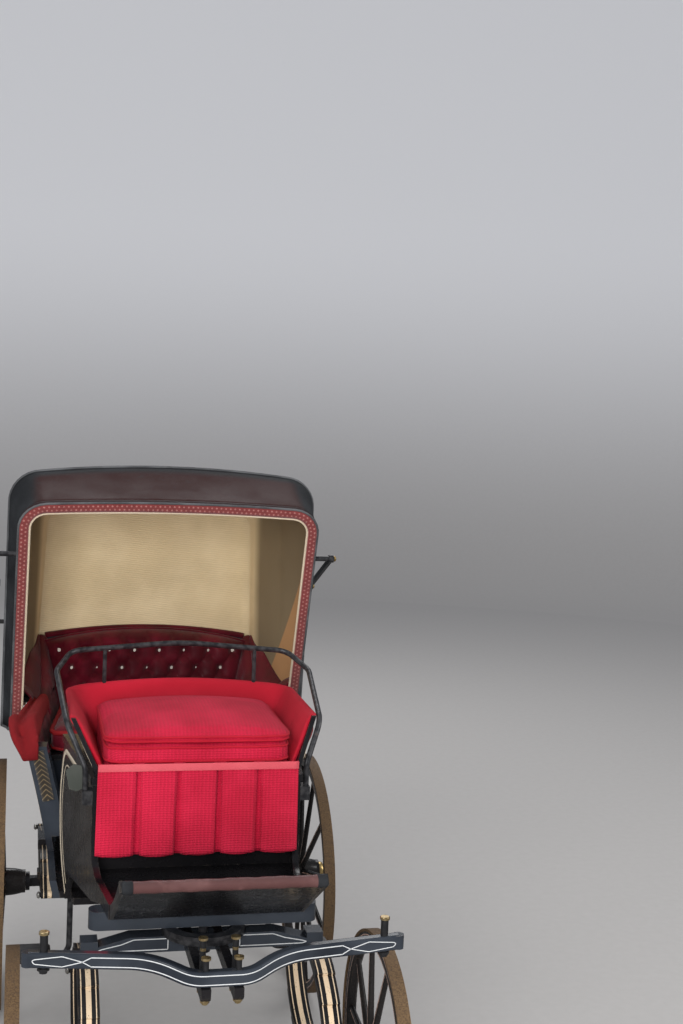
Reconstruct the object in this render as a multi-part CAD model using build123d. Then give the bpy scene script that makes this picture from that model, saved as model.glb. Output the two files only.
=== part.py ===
from build123d import *
import math
import os

# A pony-size victoria carriage: a folding hood over a low rear seat, a driver's seat on a boot, and a
# fore-carriage that turns on a fifth wheel. Sizes are in millimetres. The front faces -Y, X runs across,
# and Z is up from the ground. The pieces are drawn with the king pin at x = 0, y = 0, and the last step
# moves them together so that the origin is under the middle of the whole carriage.

# Clearances
SOFT_GAP = 0.3          # between a cushion and the board that carries it
RUN_GAP = 0.06          # radial gap of an axle arm in its nave
PIN_GAP = 0.1           # radial gap of a bolt in its own body
PLATE_GAP = 0.4         # between the two rings of the fifth wheel
COLLAR_GAP = 0.6        # between an axle collar and the nave

# Wheels and axles
WHEELBASE = 820
FRONT_WHEEL_RADIUS = 220
REAR_WHEEL_RADIUS = 280
FRONT_HALF_TRACK = 330
REAR_HALF_TRACK = 360
FRONT_SPOKES = 10
REAR_SPOKES = 12
TYRE_WIDTH = 24
TYRE_THICKNESS = 5
FELLOE_WIDTH = 20
FELLOE_DEPTH = 24
DISH = 10               # how far the rim stands outside the middle of the nave
NAVE_INNER = 50         # from the middle of the nave to its inner end
NAVE_OUTER = 42
NAVE_RADIUS = 31
NAVE_END_RADIUS = 24
NAVE_BAND = (7, 2)      # length and height of the iron band at each end of the nave
CAP_LENGTH = 15
CAP_RADIUS = 18
CAP_WALL = 6
SPOKE_ROOT = (8.5, 6.5)  # half axes of the spoke's oval at the nave
SPOKE_TIP = (6.5, 5.0)   # and at the felloe
ARM_RADIUS = 11
AXLE_BAR = 20           # side of the square bar between the wheels
COLLAR_RADIUS = 21
COLLAR_LENGTH = 9

# Springs
LEAF_WIDTH = 36
LEAF_THICKNESS = 5
LEAF_COUNT = 3
LEAF_STEP = 0.27        # share of the length that each outer leaf loses
EYE_RADIUS = 8
EYE_BOLT_OVERHANG = 5
EYE_NUT_RADIUS = 5.5
CLIP_LENGTH = 34
CLIP_WALL = 4
FRONT_SPRING_X = 205
FRONT_SPRING_HALF = 172
REAR_SPRING_X = 252
REAR_SPRING_HALF = 240
REAR_SPRING_TOP = 375

# Fore-carriage
BED_BOTTOM = 438
BED_HEIGHT = 28
BED_DEPTH = 36
BED_HALF = 216
BED_SHOULDER = 130      # half length of the bed's full-height middle
BED_TIP_HEIGHT = 13
BED_BLOCK = 30          # length of the block at each end, over the spring
BED_BLOCK_HEIGHT = 23
RING_OUTER = 74
RING_INNER = 54
RING_THICKNESS = 7.5
TRANSOM_HEIGHT = 33
TRANSOM_DEPTH = 40
TRANSOM_HALF = 203
KING_PIN_RADIUS = 8
KING_PIN_HEAD = 14
FUTCHELL_X = 27
FUTCHELL_WIDTH = 16
FUTCHELL_HEIGHT = 22
FUTCHELL_FRONT = -250
FUTCHELL_BACK = 125
POLE_HOLE_Y = -165
POLE_HOLE_RADIUS = 5
BAR_WIDTH = 20
BAR_THICKNESS = 26
BAR_EDGE = 5
BAR_END = (308, -185)   # x and y of the splinter bar's end
BAR_KNEE = (112, -195)
BAR_DIP = (48, -235)
BAR_KNEE_RISE = 17      # how far the knee and the end stand above the dip
BAR_END_RISE = 27
TRACE_PIN_X = 283
TRACE_PIN_RADIUS = 6.5
TRACE_PIN_FREE = 28     # how far the pin stands out of the bar
TRACE_CAP_RADIUS = 8.5
TRACE_CAP_HEIGHT = 5
POLE_BOLT_RADIUS = 5
POLE_BOLT_ROWS = (-235, -195)   # y of the front and the rear pair
POLE_BOLT_TOPS = (44, 62)       # height of each pair's cap above the futchells

# Boot and driver's seat
BOOT_FRONT = -55        # where the toe board meets the boot floor
BOOT_FRONT_HALF = 172
BOOT_FLARE = 0.1225     # how fast the boot widens towards the rear
BOOT_WALL = 12
BOOT_SIDE_REAR = 496    # the rearmost point of the sides' round back edge
BOOT_SIDE_TOP = 541     # the sides' low edge beside the driver's feet
BOOT_FLOOR_THICKNESS = 14
BOOT_BACK_Y = 425
BOOT_FRONT_PANEL_Y = 165
SEAT_BOARD_BOTTOM = 700
SEAT_BOARD_THICKNESS = 14
SEAT_FRONT = 120
SEAT_BACK = 458
SEAT_OVERHANG = 3
WING_BOTTOM_HALF = 186
WING_TOP_HALF = 234
WING_TOP = 808
WING_WALL = 9
WING_FRONT = 128
WING_REAR_BOTTOM = 452
WING_REAR_TOP = 478
LINING_THICKNESS = 8
CUSHION_HALF = 176
CUSHION_FRONT = 124
CUSHION_BACK = 420
CUSHION_BASE = 22
CUSHION_HEIGHT = 62
CUSHION_ROUND = 11
FALL_HALF = 186
FALL_BOTTOM = 567
FALL_CLOTH = 3.5
FALL_PLEATS = 5
FALL_SLOT = 9
RAIL_RADIUS = 5.5
RAIL_UPRIGHT_X = 156
RAIL_UPRIGHT_RADIUS = 4
RAIL_BACK_Y = 473
RAIL_TOP = (94, 76)     # height over the wings' top of the rail's middle and of its rear corners
RAIL_CORNER_X = 224
RAIL_SIDE = ((256, 386, 52), (241, 190, -8))   # x, y and height over the wings' top on each side
RAIL_FOOT_Y = 140
RAIL_FOOT_TOP = 728
RAIL_FOOT_BOTTOM = 664
RAIL_FOOT_BLOCK = (30, 26)

# Toe board
TOE_TIP = (-243, 630)   # y and z of the lower edge of its front end
TOE_HALF = 164
TOE_THICKNESS = 12
TOE_ROLL_RADIUS = 9.5
TOE_ROLL_END = 14
TOE_BRACKET = 6

# Passenger body
BODY_BOTTOM = 388
TUB_HALF = 236          # inside half width at the bottom
TUB_LEAN = 0.248        # how fast the sides lean out going up
TUB_TAPER = 0.13        # how fast the sides draw in behind the elbow
TUB_REACH = 1400        # how far back the tub's sides are worked out
TUB_FRONT = 300         # and how far forward
TUB_CEILING = 880       # and how high
BODY_REACH = 500        # beyond every side
SILL_BACK = 592         # where the sill's top ends and the elbow's curve starts
TUB_WALL = 14
FLOOR_THICKNESS = 14
FLOOR_FRONT = 362
SILL_FRONT = 404
SILL_TOP = 425
ELBOW = (716, 622)      # y and z of the front end of the arm rail
ARM_END = (1000, 646)   # where the arm rail starts to rise to the back
BACK_FOOT = (1085, BODY_BOTTOM)
BACK_MIDDLE = (1188, 545)
BACK_TOP = (1262, 800)
BACK_CROWN = 22         # how far the back's top edge stands above its corners
PILLAR_DEPTH = 34
PILLAR_WIDTH = 31
RISER_Y = 802
REAR_SEAT_BOTTOM = 572
REAR_SEAT_THICKNESS = 12
REAR_CUSHION_HEIGHT = 60
REAR_CUSHION_FRONT = 790
SQUAB_DEPTH = 62
SQUAB_TOP = 804
SQUAB_CROWN = 34
ARM_PAD_INNER = 18      # how far the pad reaches inside the tub's inner face
ARM_PAD_OUTER = 44      # and how far its outer side stands outside that face
ARM_PAD_HEIGHT = 62
ARM_PAD_DROOP = 36
ARM_PAD_NOSE = 22

# Hood. Each bow's plane goes through one line low in the body.
HOOD_HUB = (1000, 450)
HOOD_WALL = 10
# Columns: top y, top z, half width at the foot, half width at the shoulder, corner radius, crown
HOOD_BOWS = (
    (700, 1178, 344, 336, 58, 12),
    (868, 1246, 364, 356, 62, 26),
    (1120, 1212, 330, 330, 62, 26),
)
HOOD_BACK_TOP = (1222, 1140)
HOOD_BACK_FOOT = (1272, 780)
# Columns: half width at the foot, half width at the shoulder, corner radius, crown
HOOD_BACK_OUTLINE = (292, 264, 56, 16)
HOOD_SKIRT = ((880, 606), (1170, 640), (1300, 770))
HOOD_PIVOT = (1090, 652)
HOOD_PIVOT_RADIUS = 13
JOINT_FRONT = (765, 1048)
JOINT_KNUCKLE = (992, 952)
JOINT_REAR = (1190, 826)
JOINT_X = 380
JOINT_BAR = (13, 7)     # height and thickness of the flat iron
JOINT_BOSS_RADIUS = 9

# Steps
STEP_HEIGHT = 243
STEP_Y = 490
STEP_LENGTH = 92
STEP_INNER = 250
STEP_OUTER = 326
STEP_THICKNESS = 6
STEP_STEM_RADIUS = 6

# Heights worked out from the sizes above
FRONT_AXLE_TOP = FRONT_WHEEL_RADIUS + AXLE_BAR / 2
REAR_AXLE_TOP = REAR_WHEEL_RADIUS + AXLE_BAR / 2
BED_TOP = BED_BOTTOM + BED_HEIGHT
LOWER_RING_TOP = BED_TOP + RING_THICKNESS
UPPER_RING_BOTTOM = LOWER_RING_TOP + PLATE_GAP
TRANSOM_BOTTOM = UPPER_RING_BOTTOM + RING_THICKNESS
BOOT_FLOOR_BOTTOM = TRANSOM_BOTTOM + TRANSOM_HEIGHT
BOOT_FLOOR_TOP = BOOT_FLOOR_BOTTOM + BOOT_FLOOR_THICKNESS
SEAT_TOP = SEAT_BOARD_BOTTOM + SEAT_BOARD_THICKNESS
FLOOR_TOP = BODY_BOTTOM + FLOOR_THICKNESS
REAR_SEAT_TOP = REAR_SEAT_BOTTOM + REAR_SEAT_THICKNESS
BAR_DIP_Z = BED_TOP + BAR_THICKNESS / 2


# Small makers

def block(x, y, z):
    """A box from its low and high values along each axis."""
    size = [high - low for low, high in (x, y, z)]
    middle = [(high + low) / 2 for low, high in (x, y, z)]
    return Pos(*middle) * Box(*size)


def across(profile, x_low, x_high):
    """A side profile, drawn as (y, z), made solid between two values of x."""
    return extrude(Plane.YZ.offset(x_low) * profile, amount=x_high - x_low)


def along(profile, y_low, y_high):
    """A front profile, drawn as (x, z), made solid between two values of y."""
    return extrude(Plane.XZ.offset(-y_high) * profile, amount=y_high - y_low)


def rod_x(radius, y, z, x_low, x_high):
    """A round bar along X."""
    middle = (x_low + x_high) / 2
    return Pos(middle, y, z) * Rot(0, 90, 0) * Cylinder(radius, x_high - x_low)


def rod_z(radius, x, y, z_low, z_high):
    """A round bar along Z."""
    return Pos(x, y, (z_low + z_high) / 2) * Cylinder(radius, z_high - z_low)


def outline(*points):
    """A face with straight sides."""
    return make_face(Polyline(*points, close=True))


def other_side(shape):
    """The same piece on the other side of the carriage."""
    return mirror(shape, about=Plane.YZ)


def both(shape):
    """A piece and its mirror image, as two solids in one node."""
    return Compound(children=[*shape.solids(), *other_side(shape).solids()])


# Wheels

def spoke(angle, root_radius, tip_radius):
    """One oval spoke, from the nave out to the felloe, leaning out by the dish."""
    lean = Vector(DISH, 0, tip_radius - root_radius)
    root = Plane(origin=(-DISH, 0, root_radius), x_dir=(0, 1, 0), z_dir=lean)
    tip = Plane(origin=(0, 0, tip_radius), x_dir=(0, 1, 0), z_dir=lean)
    body = loft([root * Ellipse(*SPOKE_ROOT), tip * Ellipse(*SPOKE_TIP)])
    return Rot(angle, 0, 0) * body


def nave():
    """The turned nave with its hub cap, about the X axis and bored from its inner end."""
    inner = -DISH - NAVE_INNER
    outer = -DISH + NAVE_OUTER
    profile = make_face(
        Line((inner, 0), (inner, NAVE_END_RADIUS))
        + ThreePointArc((inner, NAVE_END_RADIUS), (-DISH, NAVE_RADIUS), (outer, NAVE_END_RADIUS))
        + Polyline((outer, NAVE_END_RADIUS), (outer, CAP_RADIUS), (outer + CAP_LENGTH, CAP_RADIUS - 3),
                   (outer + CAP_LENGTH, 0), (inner, 0))
    )
    body = revolve(profile, Axis.X)
    length, height = NAVE_BAND
    for low in (inner, outer - length):
        body += rod_x(NAVE_END_RADIUS + height, 0, 0, low, low + length)
    bore_end = outer + CAP_LENGTH - CAP_WALL
    return body - rod_x(ARM_RADIUS + RUN_GAP, 0, 0, inner - 1, bore_end)


def wheel(radius, spokes):
    """A wooden wheel and its iron tyre, about the X axis with the outside towards +X."""
    felloe_outer = radius - TYRE_THICKNESS
    felloe_inner = felloe_outer - FELLOE_DEPTH
    felloe = rod_x(felloe_outer, 0, 0, -FELLOE_WIDTH / 2, FELLOE_WIDTH / 2)
    felloe -= rod_x(felloe_inner, 0, 0, -FELLOE_WIDTH, FELLOE_WIDTH)
    felloe = chamfer(felloe.edges().filter_by(GeomType.CIRCLE).sort_by(SortBy.RADIUS)[:2], 4)
    wood = nave() + felloe
    for number in range(spokes):
        wood += spoke(360 / spokes * (number + 0.5), NAVE_RADIUS - 6, felloe_inner + 3)
    bore_end = -DISH + NAVE_OUTER + CAP_LENGTH - CAP_WALL
    wood -= rod_x(ARM_RADIUS + RUN_GAP, 0, 0, -DISH - NAVE_INNER - 1, bore_end)
    tyre = rod_x(radius, 0, 0, -TYRE_WIDTH / 2, TYRE_WIDTH / 2)
    tyre -= rod_x(felloe_outer, 0, 0, -TYRE_WIDTH, TYRE_WIDTH)
    return wood, tyre


def axle(half_track, y, z):
    """A square bar with a collar and a round arm at each end."""
    nave_end = half_track - DISH - NAVE_INNER
    collar = nave_end - COLLAR_GAP
    arm_end = half_track - DISH + NAVE_OUTER + CAP_LENGTH - CAP_WALL - 2
    bar_end = collar - COLLAR_LENGTH
    half = AXLE_BAR / 2
    body = block((-bar_end, bar_end), (y - half, y + half), (z - half, z + half))
    for side in (-1, 1):
        body += rod_x(COLLAR_RADIUS, y, z, *sorted((side * bar_end, side * collar)))
        body += rod_x(ARM_RADIUS, y, z, *sorted((side * collar, side * arm_end)))
    return body


# Springs

def spring(x, y, z_low, z_high, half_length):
    """An elliptic spring: two stacks of leaves, the longest inside, joined at an eye at each end."""
    middle = (z_low + z_high) / 2
    rise = z_high - (LEAF_COUNT - 0.5) * LEAF_THICKNESS - middle
    radius = (half_length ** 2 + rise ** 2) / (2 * rise)
    centre = middle + rise - radius
    reach = math.degrees(math.asin(half_length / radius))
    half_width = LEAF_WIDTH / 2

    def leaf(number):
        inner = radius + (number - 0.5) * LEAF_THICKNESS
        outer = inner + LEAF_THICKNESS
        half_angle = reach * (1 - LEAF_STEP * number)
        ends = []
        for angle in (90 + half_angle, 90, 90 - half_angle):
            turn = math.radians(angle)
            ends.append([(y + r * math.cos(turn), centre + r * math.sin(turn)) for r in (inner, outer)])
        profile = make_face(
            ThreePointArc(*[end[0] for end in ends])
            + Line(ends[2][0], ends[2][1])
            + ThreePointArc(*[end[1] for end in ends])
            + Line(ends[0][1], ends[0][0])
        )
        return across(profile, x - half_width, x + half_width)

    upper = leaf(0)
    for number in range(1, LEAF_COUNT):
        upper += leaf(number)
    body = upper + mirror(upper, about=Plane.XY.offset(middle))
    for side in (-1, 1):
        eye_y = y + side * half_length
        body += rod_x(EYE_RADIUS, eye_y, middle, x - half_width, x + half_width)
        bolt = half_width + EYE_BOLT_OVERHANG
        body += rod_x(EYE_NUT_RADIUS, eye_y, middle, x - bolt, x + bolt)
    stack = LEAF_COUNT * LEAF_THICKNESS
    for low, high in ((z_low, z_low + stack), (z_high - stack, z_high)):
        clip = block((x - half_width - CLIP_WALL, x + half_width + CLIP_WALL),
                     (y - CLIP_LENGTH / 2, y + CLIP_LENGTH / 2),
                     (low, high))
        body += clip
    return body


# Fore-carriage

def futchell():
    x = (FUTCHELL_X - FUTCHELL_WIDTH / 2, FUTCHELL_X + FUTCHELL_WIDTH / 2)
    body = block(x, (FUTCHELL_FRONT, FUTCHELL_BACK), (BED_TOP - FUTCHELL_HEIGHT, BED_TOP))
    rear_edges = body.edges().filter_by(Axis.X).group_by(Axis.Z)[0]
    body = chamfer(rear_edges, FUTCHELL_HEIGHT / 3)
    pole_z = BED_TOP - FUTCHELL_HEIGHT / 2
    body -= rod_x(POLE_HOLE_RADIUS, POLE_HOLE_Y, pole_z, x[0] - 1, x[1] + 1)
    for row in POLE_BOLT_ROWS:
        body -= rod_z(POLE_BOLT_RADIUS + PIN_GAP, FUTCHELL_X, row, BED_BOTTOM, BED_TOP + 1)
    return body


def bed():
    """The lower bed: full height in the middle, tapering to a block over each spring."""
    block_inner = BED_HALF - BED_BLOCK
    right = [
        (BED_SHOULDER, BED_TOP),
        (block_inner, BED_BOTTOM + BED_TIP_HEIGHT),
        (block_inner, BED_BOTTOM + BED_BLOCK_HEIGHT),
        (BED_HALF, BED_BOTTOM + BED_BLOCK_HEIGHT),
        (BED_HALF, BED_BOTTOM),
    ]
    left = [(-x, z) for x, z in reversed(right)]
    body = along(outline(*left, *right), -BED_DEPTH / 2, BED_DEPTH / 2)
    body -= rod_z(KING_PIN_RADIUS + PIN_GAP, 0, 0, BED_BOTTOM - 1, BED_TOP + 1)
    for side in (-1, 1):
        x = side * FUTCHELL_X
        body -= block((x - FUTCHELL_WIDTH / 2, x + FUTCHELL_WIDTH / 2), (-BED_DEPTH, BED_DEPTH),
                      (BED_TOP - FUTCHELL_HEIGHT, BED_TOP + 1))
    return body


def ring(z_low):
    plate = Pos(0, 0, z_low + RING_THICKNESS / 2) * Cylinder(RING_OUTER, RING_THICKNESS)
    return plate - Pos(0, 0, z_low + RING_THICKNESS / 2) * Cylinder(RING_INNER, 2 * RING_THICKNESS)


def king_pin():
    top = BOOT_FLOOR_BOTTOM - 2
    body = rod_z(KING_PIN_RADIUS, 0, 0, BED_BOTTOM, top)
    return body + rod_z(KING_PIN_HEAD, 0, 0, BED_BOTTOM - 8, BED_BOTTOM)


def splinter_bar():
    """The bar that the traces hook to: straight arms, and a dip forward and down in the middle."""
    right = [
        (BAR_DIP[0], BAR_DIP[1], BAR_DIP_Z),
        (BAR_KNEE[0], BAR_KNEE[1], BAR_DIP_Z + BAR_KNEE_RISE),
        (BAR_END[0], BAR_END[1], BAR_DIP_Z + BAR_END_RISE),
    ]
    left = [(-x, y, z) for x, y, z in reversed(right)]
    path = FilletPolyline(*left, *right, radius=[140, 60, 60, 140])
    start = Plane(origin=path @ 0, x_dir=(0, 0, 1), z_dir=path % 0)
    section = start * RectangleRounded(BAR_THICKNESS, BAR_WIDTH, BAR_EDGE)
    body = sweep(section, path=path)
    end_z = BAR_DIP_Z + BAR_END_RISE
    for side in (-1, 1):
        body += rod_z(BAR_WIDTH / 2, side * BAR_END[0], BAR_END[1], end_z - BAR_THICKNESS / 2 + 1,
                      end_z + BAR_THICKNESS / 2 - 1)
        body -= rod_z(TRACE_PIN_RADIUS + PIN_GAP, side * TRACE_PIN_X, TRACE_PIN_Y, BED_BOTTOM, 600)
        body -= rod_z(POLE_BOLT_RADIUS + PIN_GAP, side * FUTCHELL_X, POLE_BOLT_ROWS[0], BED_BOTTOM, 600)
    return body


# The trace pins stand where the bar's middle line passes their x.
TRACE_SHARE = (TRACE_PIN_X - BAR_KNEE[0]) / (BAR_END[0] - BAR_KNEE[0])
TRACE_PIN_Y = BAR_KNEE[1] + TRACE_SHARE * (BAR_END[1] - BAR_KNEE[1])
TRACE_BAR_Z = BAR_DIP_Z + BAR_KNEE_RISE + TRACE_SHARE * (BAR_END_RISE - BAR_KNEE_RISE)
TRACE_BAR_TOP = TRACE_BAR_Z + BAR_THICKNESS / 2
TRACE_BAR_BOTTOM = TRACE_BAR_Z - BAR_THICKNESS / 2


def trace_pin():
    top = TRACE_BAR_TOP + TRACE_PIN_FREE
    body = rod_z(TRACE_PIN_RADIUS, TRACE_PIN_X, TRACE_PIN_Y, TRACE_BAR_BOTTOM - 10, top)
    cap = rod_z(TRACE_CAP_RADIUS, TRACE_PIN_X, TRACE_PIN_Y, top, top + TRACE_CAP_HEIGHT)
    nut = Pos(TRACE_PIN_X, TRACE_PIN_Y, TRACE_BAR_BOTTOM - 6) * extrude(RegularPolygon(10, 6), amount=4.5)
    return body + fillet(cap.edges().sort_by(Axis.Z)[-1], 2) + nut


def pole_bolts():
    """Four bolts that hold the futchells' front ends, the front pair through the splinter bar."""
    bolts = []
    for row, top in zip(POLE_BOLT_ROWS, POLE_BOLT_TOPS):
        for side in (-1, 1):
            x = side * FUTCHELL_X
            low = BED_TOP - FUTCHELL_HEIGHT
            body = rod_z(POLE_BOLT_RADIUS, x, row, low - 8, BED_TOP + top)
            body += rod_z(POLE_BOLT_RADIUS + 3, x, row, BED_TOP + top, BED_TOP + top + 4)
            body += Pos(x, row, low - 5) * extrude(RegularPolygon(8, 6), amount=5)
            bolts.append(body)
    return Compound(children=[solid for bolt in bolts for solid in bolt.solids()])


# Boot and toe board

def boot_half(y):
    """Half the boot's outside width at a place along it."""
    return BOOT_FRONT_HALF + (y - BOOT_FRONT) * BOOT_FLARE


def boot_plan(y_low, y_high, inset):
    """The boot's plan between two places, taken in from its outside by an inset."""
    half_low = boot_half(y_low) - inset
    half_high = boot_half(y_high) - inset
    return outline((-half_low, y_low), (half_low, y_low), (half_high, y_high), (-half_high, y_high))


def boot_board(y_low, y_high, z_low, z_high, inset=BOOT_WALL):
    return extrude(Plane.XY.offset(z_low) * boot_plan(y_low, y_high, inset), amount=z_high - z_low)


def boot_side():
    """The right side of the boot: cut away over the turning wheel, with a round rear edge."""
    foot = (SILL_FRONT - 4, BODY_BOTTOM)
    profile = make_face(
        Polyline((BOOT_FRONT, BOOT_FLOOR_BOTTOM), (TRANSOM_DEPTH / 2 + 4, BOOT_FLOOR_BOTTOM), (110, 488),
                 (322, 458))
        + ThreePointArc((322, 458), (374, 434), foot)
        + ThreePointArc(foot, (BOOT_SIDE_REAR, 556), (448, SEAT_BOARD_BOTTOM))
        + Line((448, SEAT_BOARD_BOTTOM), (SEAT_FRONT + 6, SEAT_BOARD_BOTTOM))
        + Line((SEAT_FRONT + 6, SEAT_BOARD_BOTTOM), (SEAT_FRONT + 6, 574))
        + ThreePointArc((SEAT_FRONT + 6, 574), (104, 551), (56, BOOT_SIDE_TOP))
        + Polyline((56, BOOT_SIDE_TOP), (BOOT_FRONT, BOOT_SIDE_TOP), (BOOT_FRONT, BOOT_FLOOR_BOTTOM))
    )
    body = across(profile, 0, 2 * BOOT_FRONT_HALF)
    low, high = BOOT_FRONT - 10, BOOT_SIDE_REAR + 10
    wall = outline(
        (boot_half(low) - BOOT_WALL, low),
        (boot_half(low), low),
        (boot_half(high), high),
        (boot_half(high) - BOOT_WALL, high),
    )
    return body & extrude(Plane.XY.offset(BODY_BOTTOM - 10) * wall, amount=400)


def toe_board():
    run = Vector(TOE_TIP[0] - BOOT_FRONT, TOE_TIP[1] - BOOT_FLOOR_BOTTOM)
    step = run.normalized()
    up = Vector(step.Y, -step.X) * TOE_THICKNESS
    profile = outline(
        (BOOT_FRONT, BOOT_FLOOR_BOTTOM),
        TOE_TIP,
        (TOE_TIP[0] + up.X, TOE_TIP[1] + up.Y),
        (BOOT_FRONT, BOOT_FLOOR_BOTTOM + TOE_THICKNESS / abs(step.X)),
    )
    return across(profile, -TOE_HALF, TOE_HALF), step, up


def toe_roll(board, step, up):
    """The leather roll along the toe board's upper edge, with a thicker cap at each end."""
    y = TOE_TIP[0] + up.X / 2 + step.X * 4
    z = TOE_TIP[1] + up.Y / 2 + step.Y * 4
    body = rod_x(TOE_ROLL_RADIUS, y, z, -TOE_HALF, TOE_HALF)
    for side in (-1, 1):
        inner = side * (TOE_HALF - TOE_ROLL_END)
        outer = side * (TOE_HALF + 3)
        body += rod_x(TOE_ROLL_RADIUS + 1.5, y, z, min(inner, outer), max(inner, outer))
    return body - board


def toe_bracket(roll):
    """The crescent plate that holds the toe board's right end to the boot."""
    profile = make_face(
        Line((BOOT_FRONT, BOOT_FLOOR_BOTTOM), TOE_TIP)
        + Line(TOE_TIP, (TOE_TIP[0] + 14, TOE_TIP[1] + 14))
        + ThreePointArc((TOE_TIP[0] + 14, TOE_TIP[1] + 14), (-122, 572), (BOOT_FRONT, BOOT_SIDE_TOP))
        + Line((BOOT_FRONT, BOOT_SIDE_TOP), (BOOT_FRONT, BOOT_FLOOR_BOTTOM))
    )
    return across(profile, TOE_HALF, TOE_HALF + TOE_BRACKET) - roll


# Driver's seat

def seat_tub(inset, z_low, z_high):
    """The tub shape of the seat's back and wings, taken in by an inset and open at the front."""
    depth_low = WING_REAR_BOTTOM - WING_FRONT
    depth_high = WING_REAR_TOP - WING_FRONT

    def ring_at(z):
        share = (z - SEAT_TOP) / (WING_TOP - SEAT_TOP)
        half = WING_BOTTOM_HALF + share * (WING_TOP_HALF - WING_BOTTOM_HALF) - inset
        depth = depth_low + share * (depth_high - depth_low) - inset
        # The plan runs one radius past the wings' front, so that only its rear corners are round.
        corner = 45 - inset
        middle = WING_FRONT + (depth - corner) / 2
        return Pos(0, middle, z) * RectangleRounded(2 * half, depth + corner, corner - 1)

    return loft([ring_at(z_low), ring_at(z_high)])


def wing_front_cut(back_by):
    """What the wings' sloping front edges leave out, moved back by a distance."""
    return across(outline(
        (-200, SEAT_TOP - 60),
        (WING_FRONT + back_by, SEAT_TOP - 60),
        (WING_FRONT + back_by, SEAT_TOP + 16),
        (WING_FRONT + 66 + back_by, WING_TOP),
        (WING_FRONT + 100 + back_by, WING_TOP + 60),
        (-200, WING_TOP + 60),
    ), -400, 400)


def seat_shell():
    shell = seat_tub(0, SEAT_TOP, WING_TOP) - seat_tub(WING_WALL, SEAT_TOP - 20, WING_TOP + 20)
    return shell - wing_front_cut(0)


def seat_lining():
    low = SEAT_TOP + SOFT_GAP
    outer = seat_tub(WING_WALL + SOFT_GAP, low, WING_TOP + 3)
    inner = seat_tub(WING_WALL + LINING_THICKNESS, low - 20, WING_TOP + 23)
    return outer - inner - wing_front_cut(2)


def driver_cushion():
    """A thin base pad with the boxed cushion on it."""
    base = block((-CUSHION_HALF + 10, CUSHION_HALF - 10), (CUSHION_FRONT, CUSHION_BACK),
                 (SEAT_TOP + SOFT_GAP, SEAT_TOP + CUSHION_BASE))
    low = SEAT_TOP + CUSHION_BASE
    top = block((-CUSHION_HALF, CUSHION_HALF), (CUSHION_FRONT, CUSHION_BACK), (low, low + CUSHION_HEIGHT))
    return base + fillet(top.edges(), CUSHION_ROUND)


def seat_fall():
    """The pleated cloth in front of the boot: a backing with box pleats standing out of it."""
    top = SEAT_TOP + CUSHION_BASE + 4
    back = SEAT_FRONT - SOFT_GAP
    body = block((-FALL_HALF, FALL_HALF), (back - FALL_CLOTH, back), (FALL_BOTTOM, top))
    pitch = 2 * FALL_HALF / FALL_PLEATS
    for number in range(FALL_PLEATS):
        low = -FALL_HALF + number * pitch + FALL_SLOT / 2
        high = low + pitch - FALL_SLOT
        body += block((low, high), (back - 2.4 * FALL_CLOTH, back - FALL_CLOTH), (FALL_BOTTOM, top))
    return body


def seat_rail(boot_right):
    """The iron rail round the driver's seat, with two uprights on the back and a foot on each side."""
    foot_x = boot_half(RAIL_FOOT_Y) + 2 * RAIL_RADIUS
    middle_z, corner_z = [WING_TOP + rise for rise in RAIL_TOP]
    right = [
        (0, RAIL_BACK_Y, middle_z),
        (RAIL_CORNER_X, RAIL_BACK_Y, corner_z),
        *[(x, y, WING_TOP + rise) for x, y, rise in RAIL_SIDE],
        (foot_x, RAIL_FOOT_Y + 2, RAIL_FOOT_TOP),
        (foot_x, RAIL_FOOT_Y, RAIL_FOOT_BOTTOM),
    ]
    left = [(-x, y, z) for x, y, z in reversed(right[1:])]
    path = FilletPolyline(*left, *right, radius=[30, 60, 60, 34, 600, 34, 60, 60, 30])
    start = Plane(origin=path @ 0, z_dir=path % 0)
    body = sweep(start * Circle(RAIL_RADIUS), path=path)
    rail_z = middle_z + RAIL_UPRIGHT_X / RAIL_CORNER_X * (corner_z - middle_z)
    length, height = RAIL_FOOT_BLOCK
    foot_y = (RAIL_FOOT_Y + 1 - length / 2, RAIL_FOOT_Y + 1 + length / 2)
    for side in (-1, 1):
        body += rod_z(RAIL_UPRIGHT_RADIUS, side * RAIL_UPRIGHT_X, RAIL_BACK_Y, WING_TOP, rail_z)
        low, high = sorted((side * (foot_x + RAIL_RADIUS), side * (foot_x - 20)))
        body += block((low, high), foot_y, (RAIL_FOOT_BOTTOM - 2, RAIL_FOOT_BOTTOM - 2 + height))
    return body - boot_right - other_side(boot_right)


# Passenger body

def tub_half(z):
    """Half the tub's inside width at a height."""
    return TUB_HALF + (z - BODY_BOTTOM) * TUB_LEAN


def tub_space(grown=0.0):
    """The space between the tub's two sides, grown outwards by a distance."""
    def plan(z):
        half = tub_half(z) + grown
        rear_half = half - (TUB_REACH - ELBOW[0]) * TUB_TAPER
        right = [(half, TUB_FRONT), (half, ELBOW[0]), (rear_half, TUB_REACH)]
        left = [(-x, y) for x, y in reversed(right)]
        return Plane.XY.offset(z) * outline(*right, *left)

    return loft([plan(BODY_BOTTOM - 20), plan(TUB_CEILING + 20)], ruled=True)


def tub_wall(inner, outer):
    """The right side's slab between two distances outside the tub's inner face."""
    slab = tub_space(outer) - tub_space(inner)
    return slab & block((0, BODY_REACH), (0, TUB_REACH + 10), (0, 2 * BODY_REACH))


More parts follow.
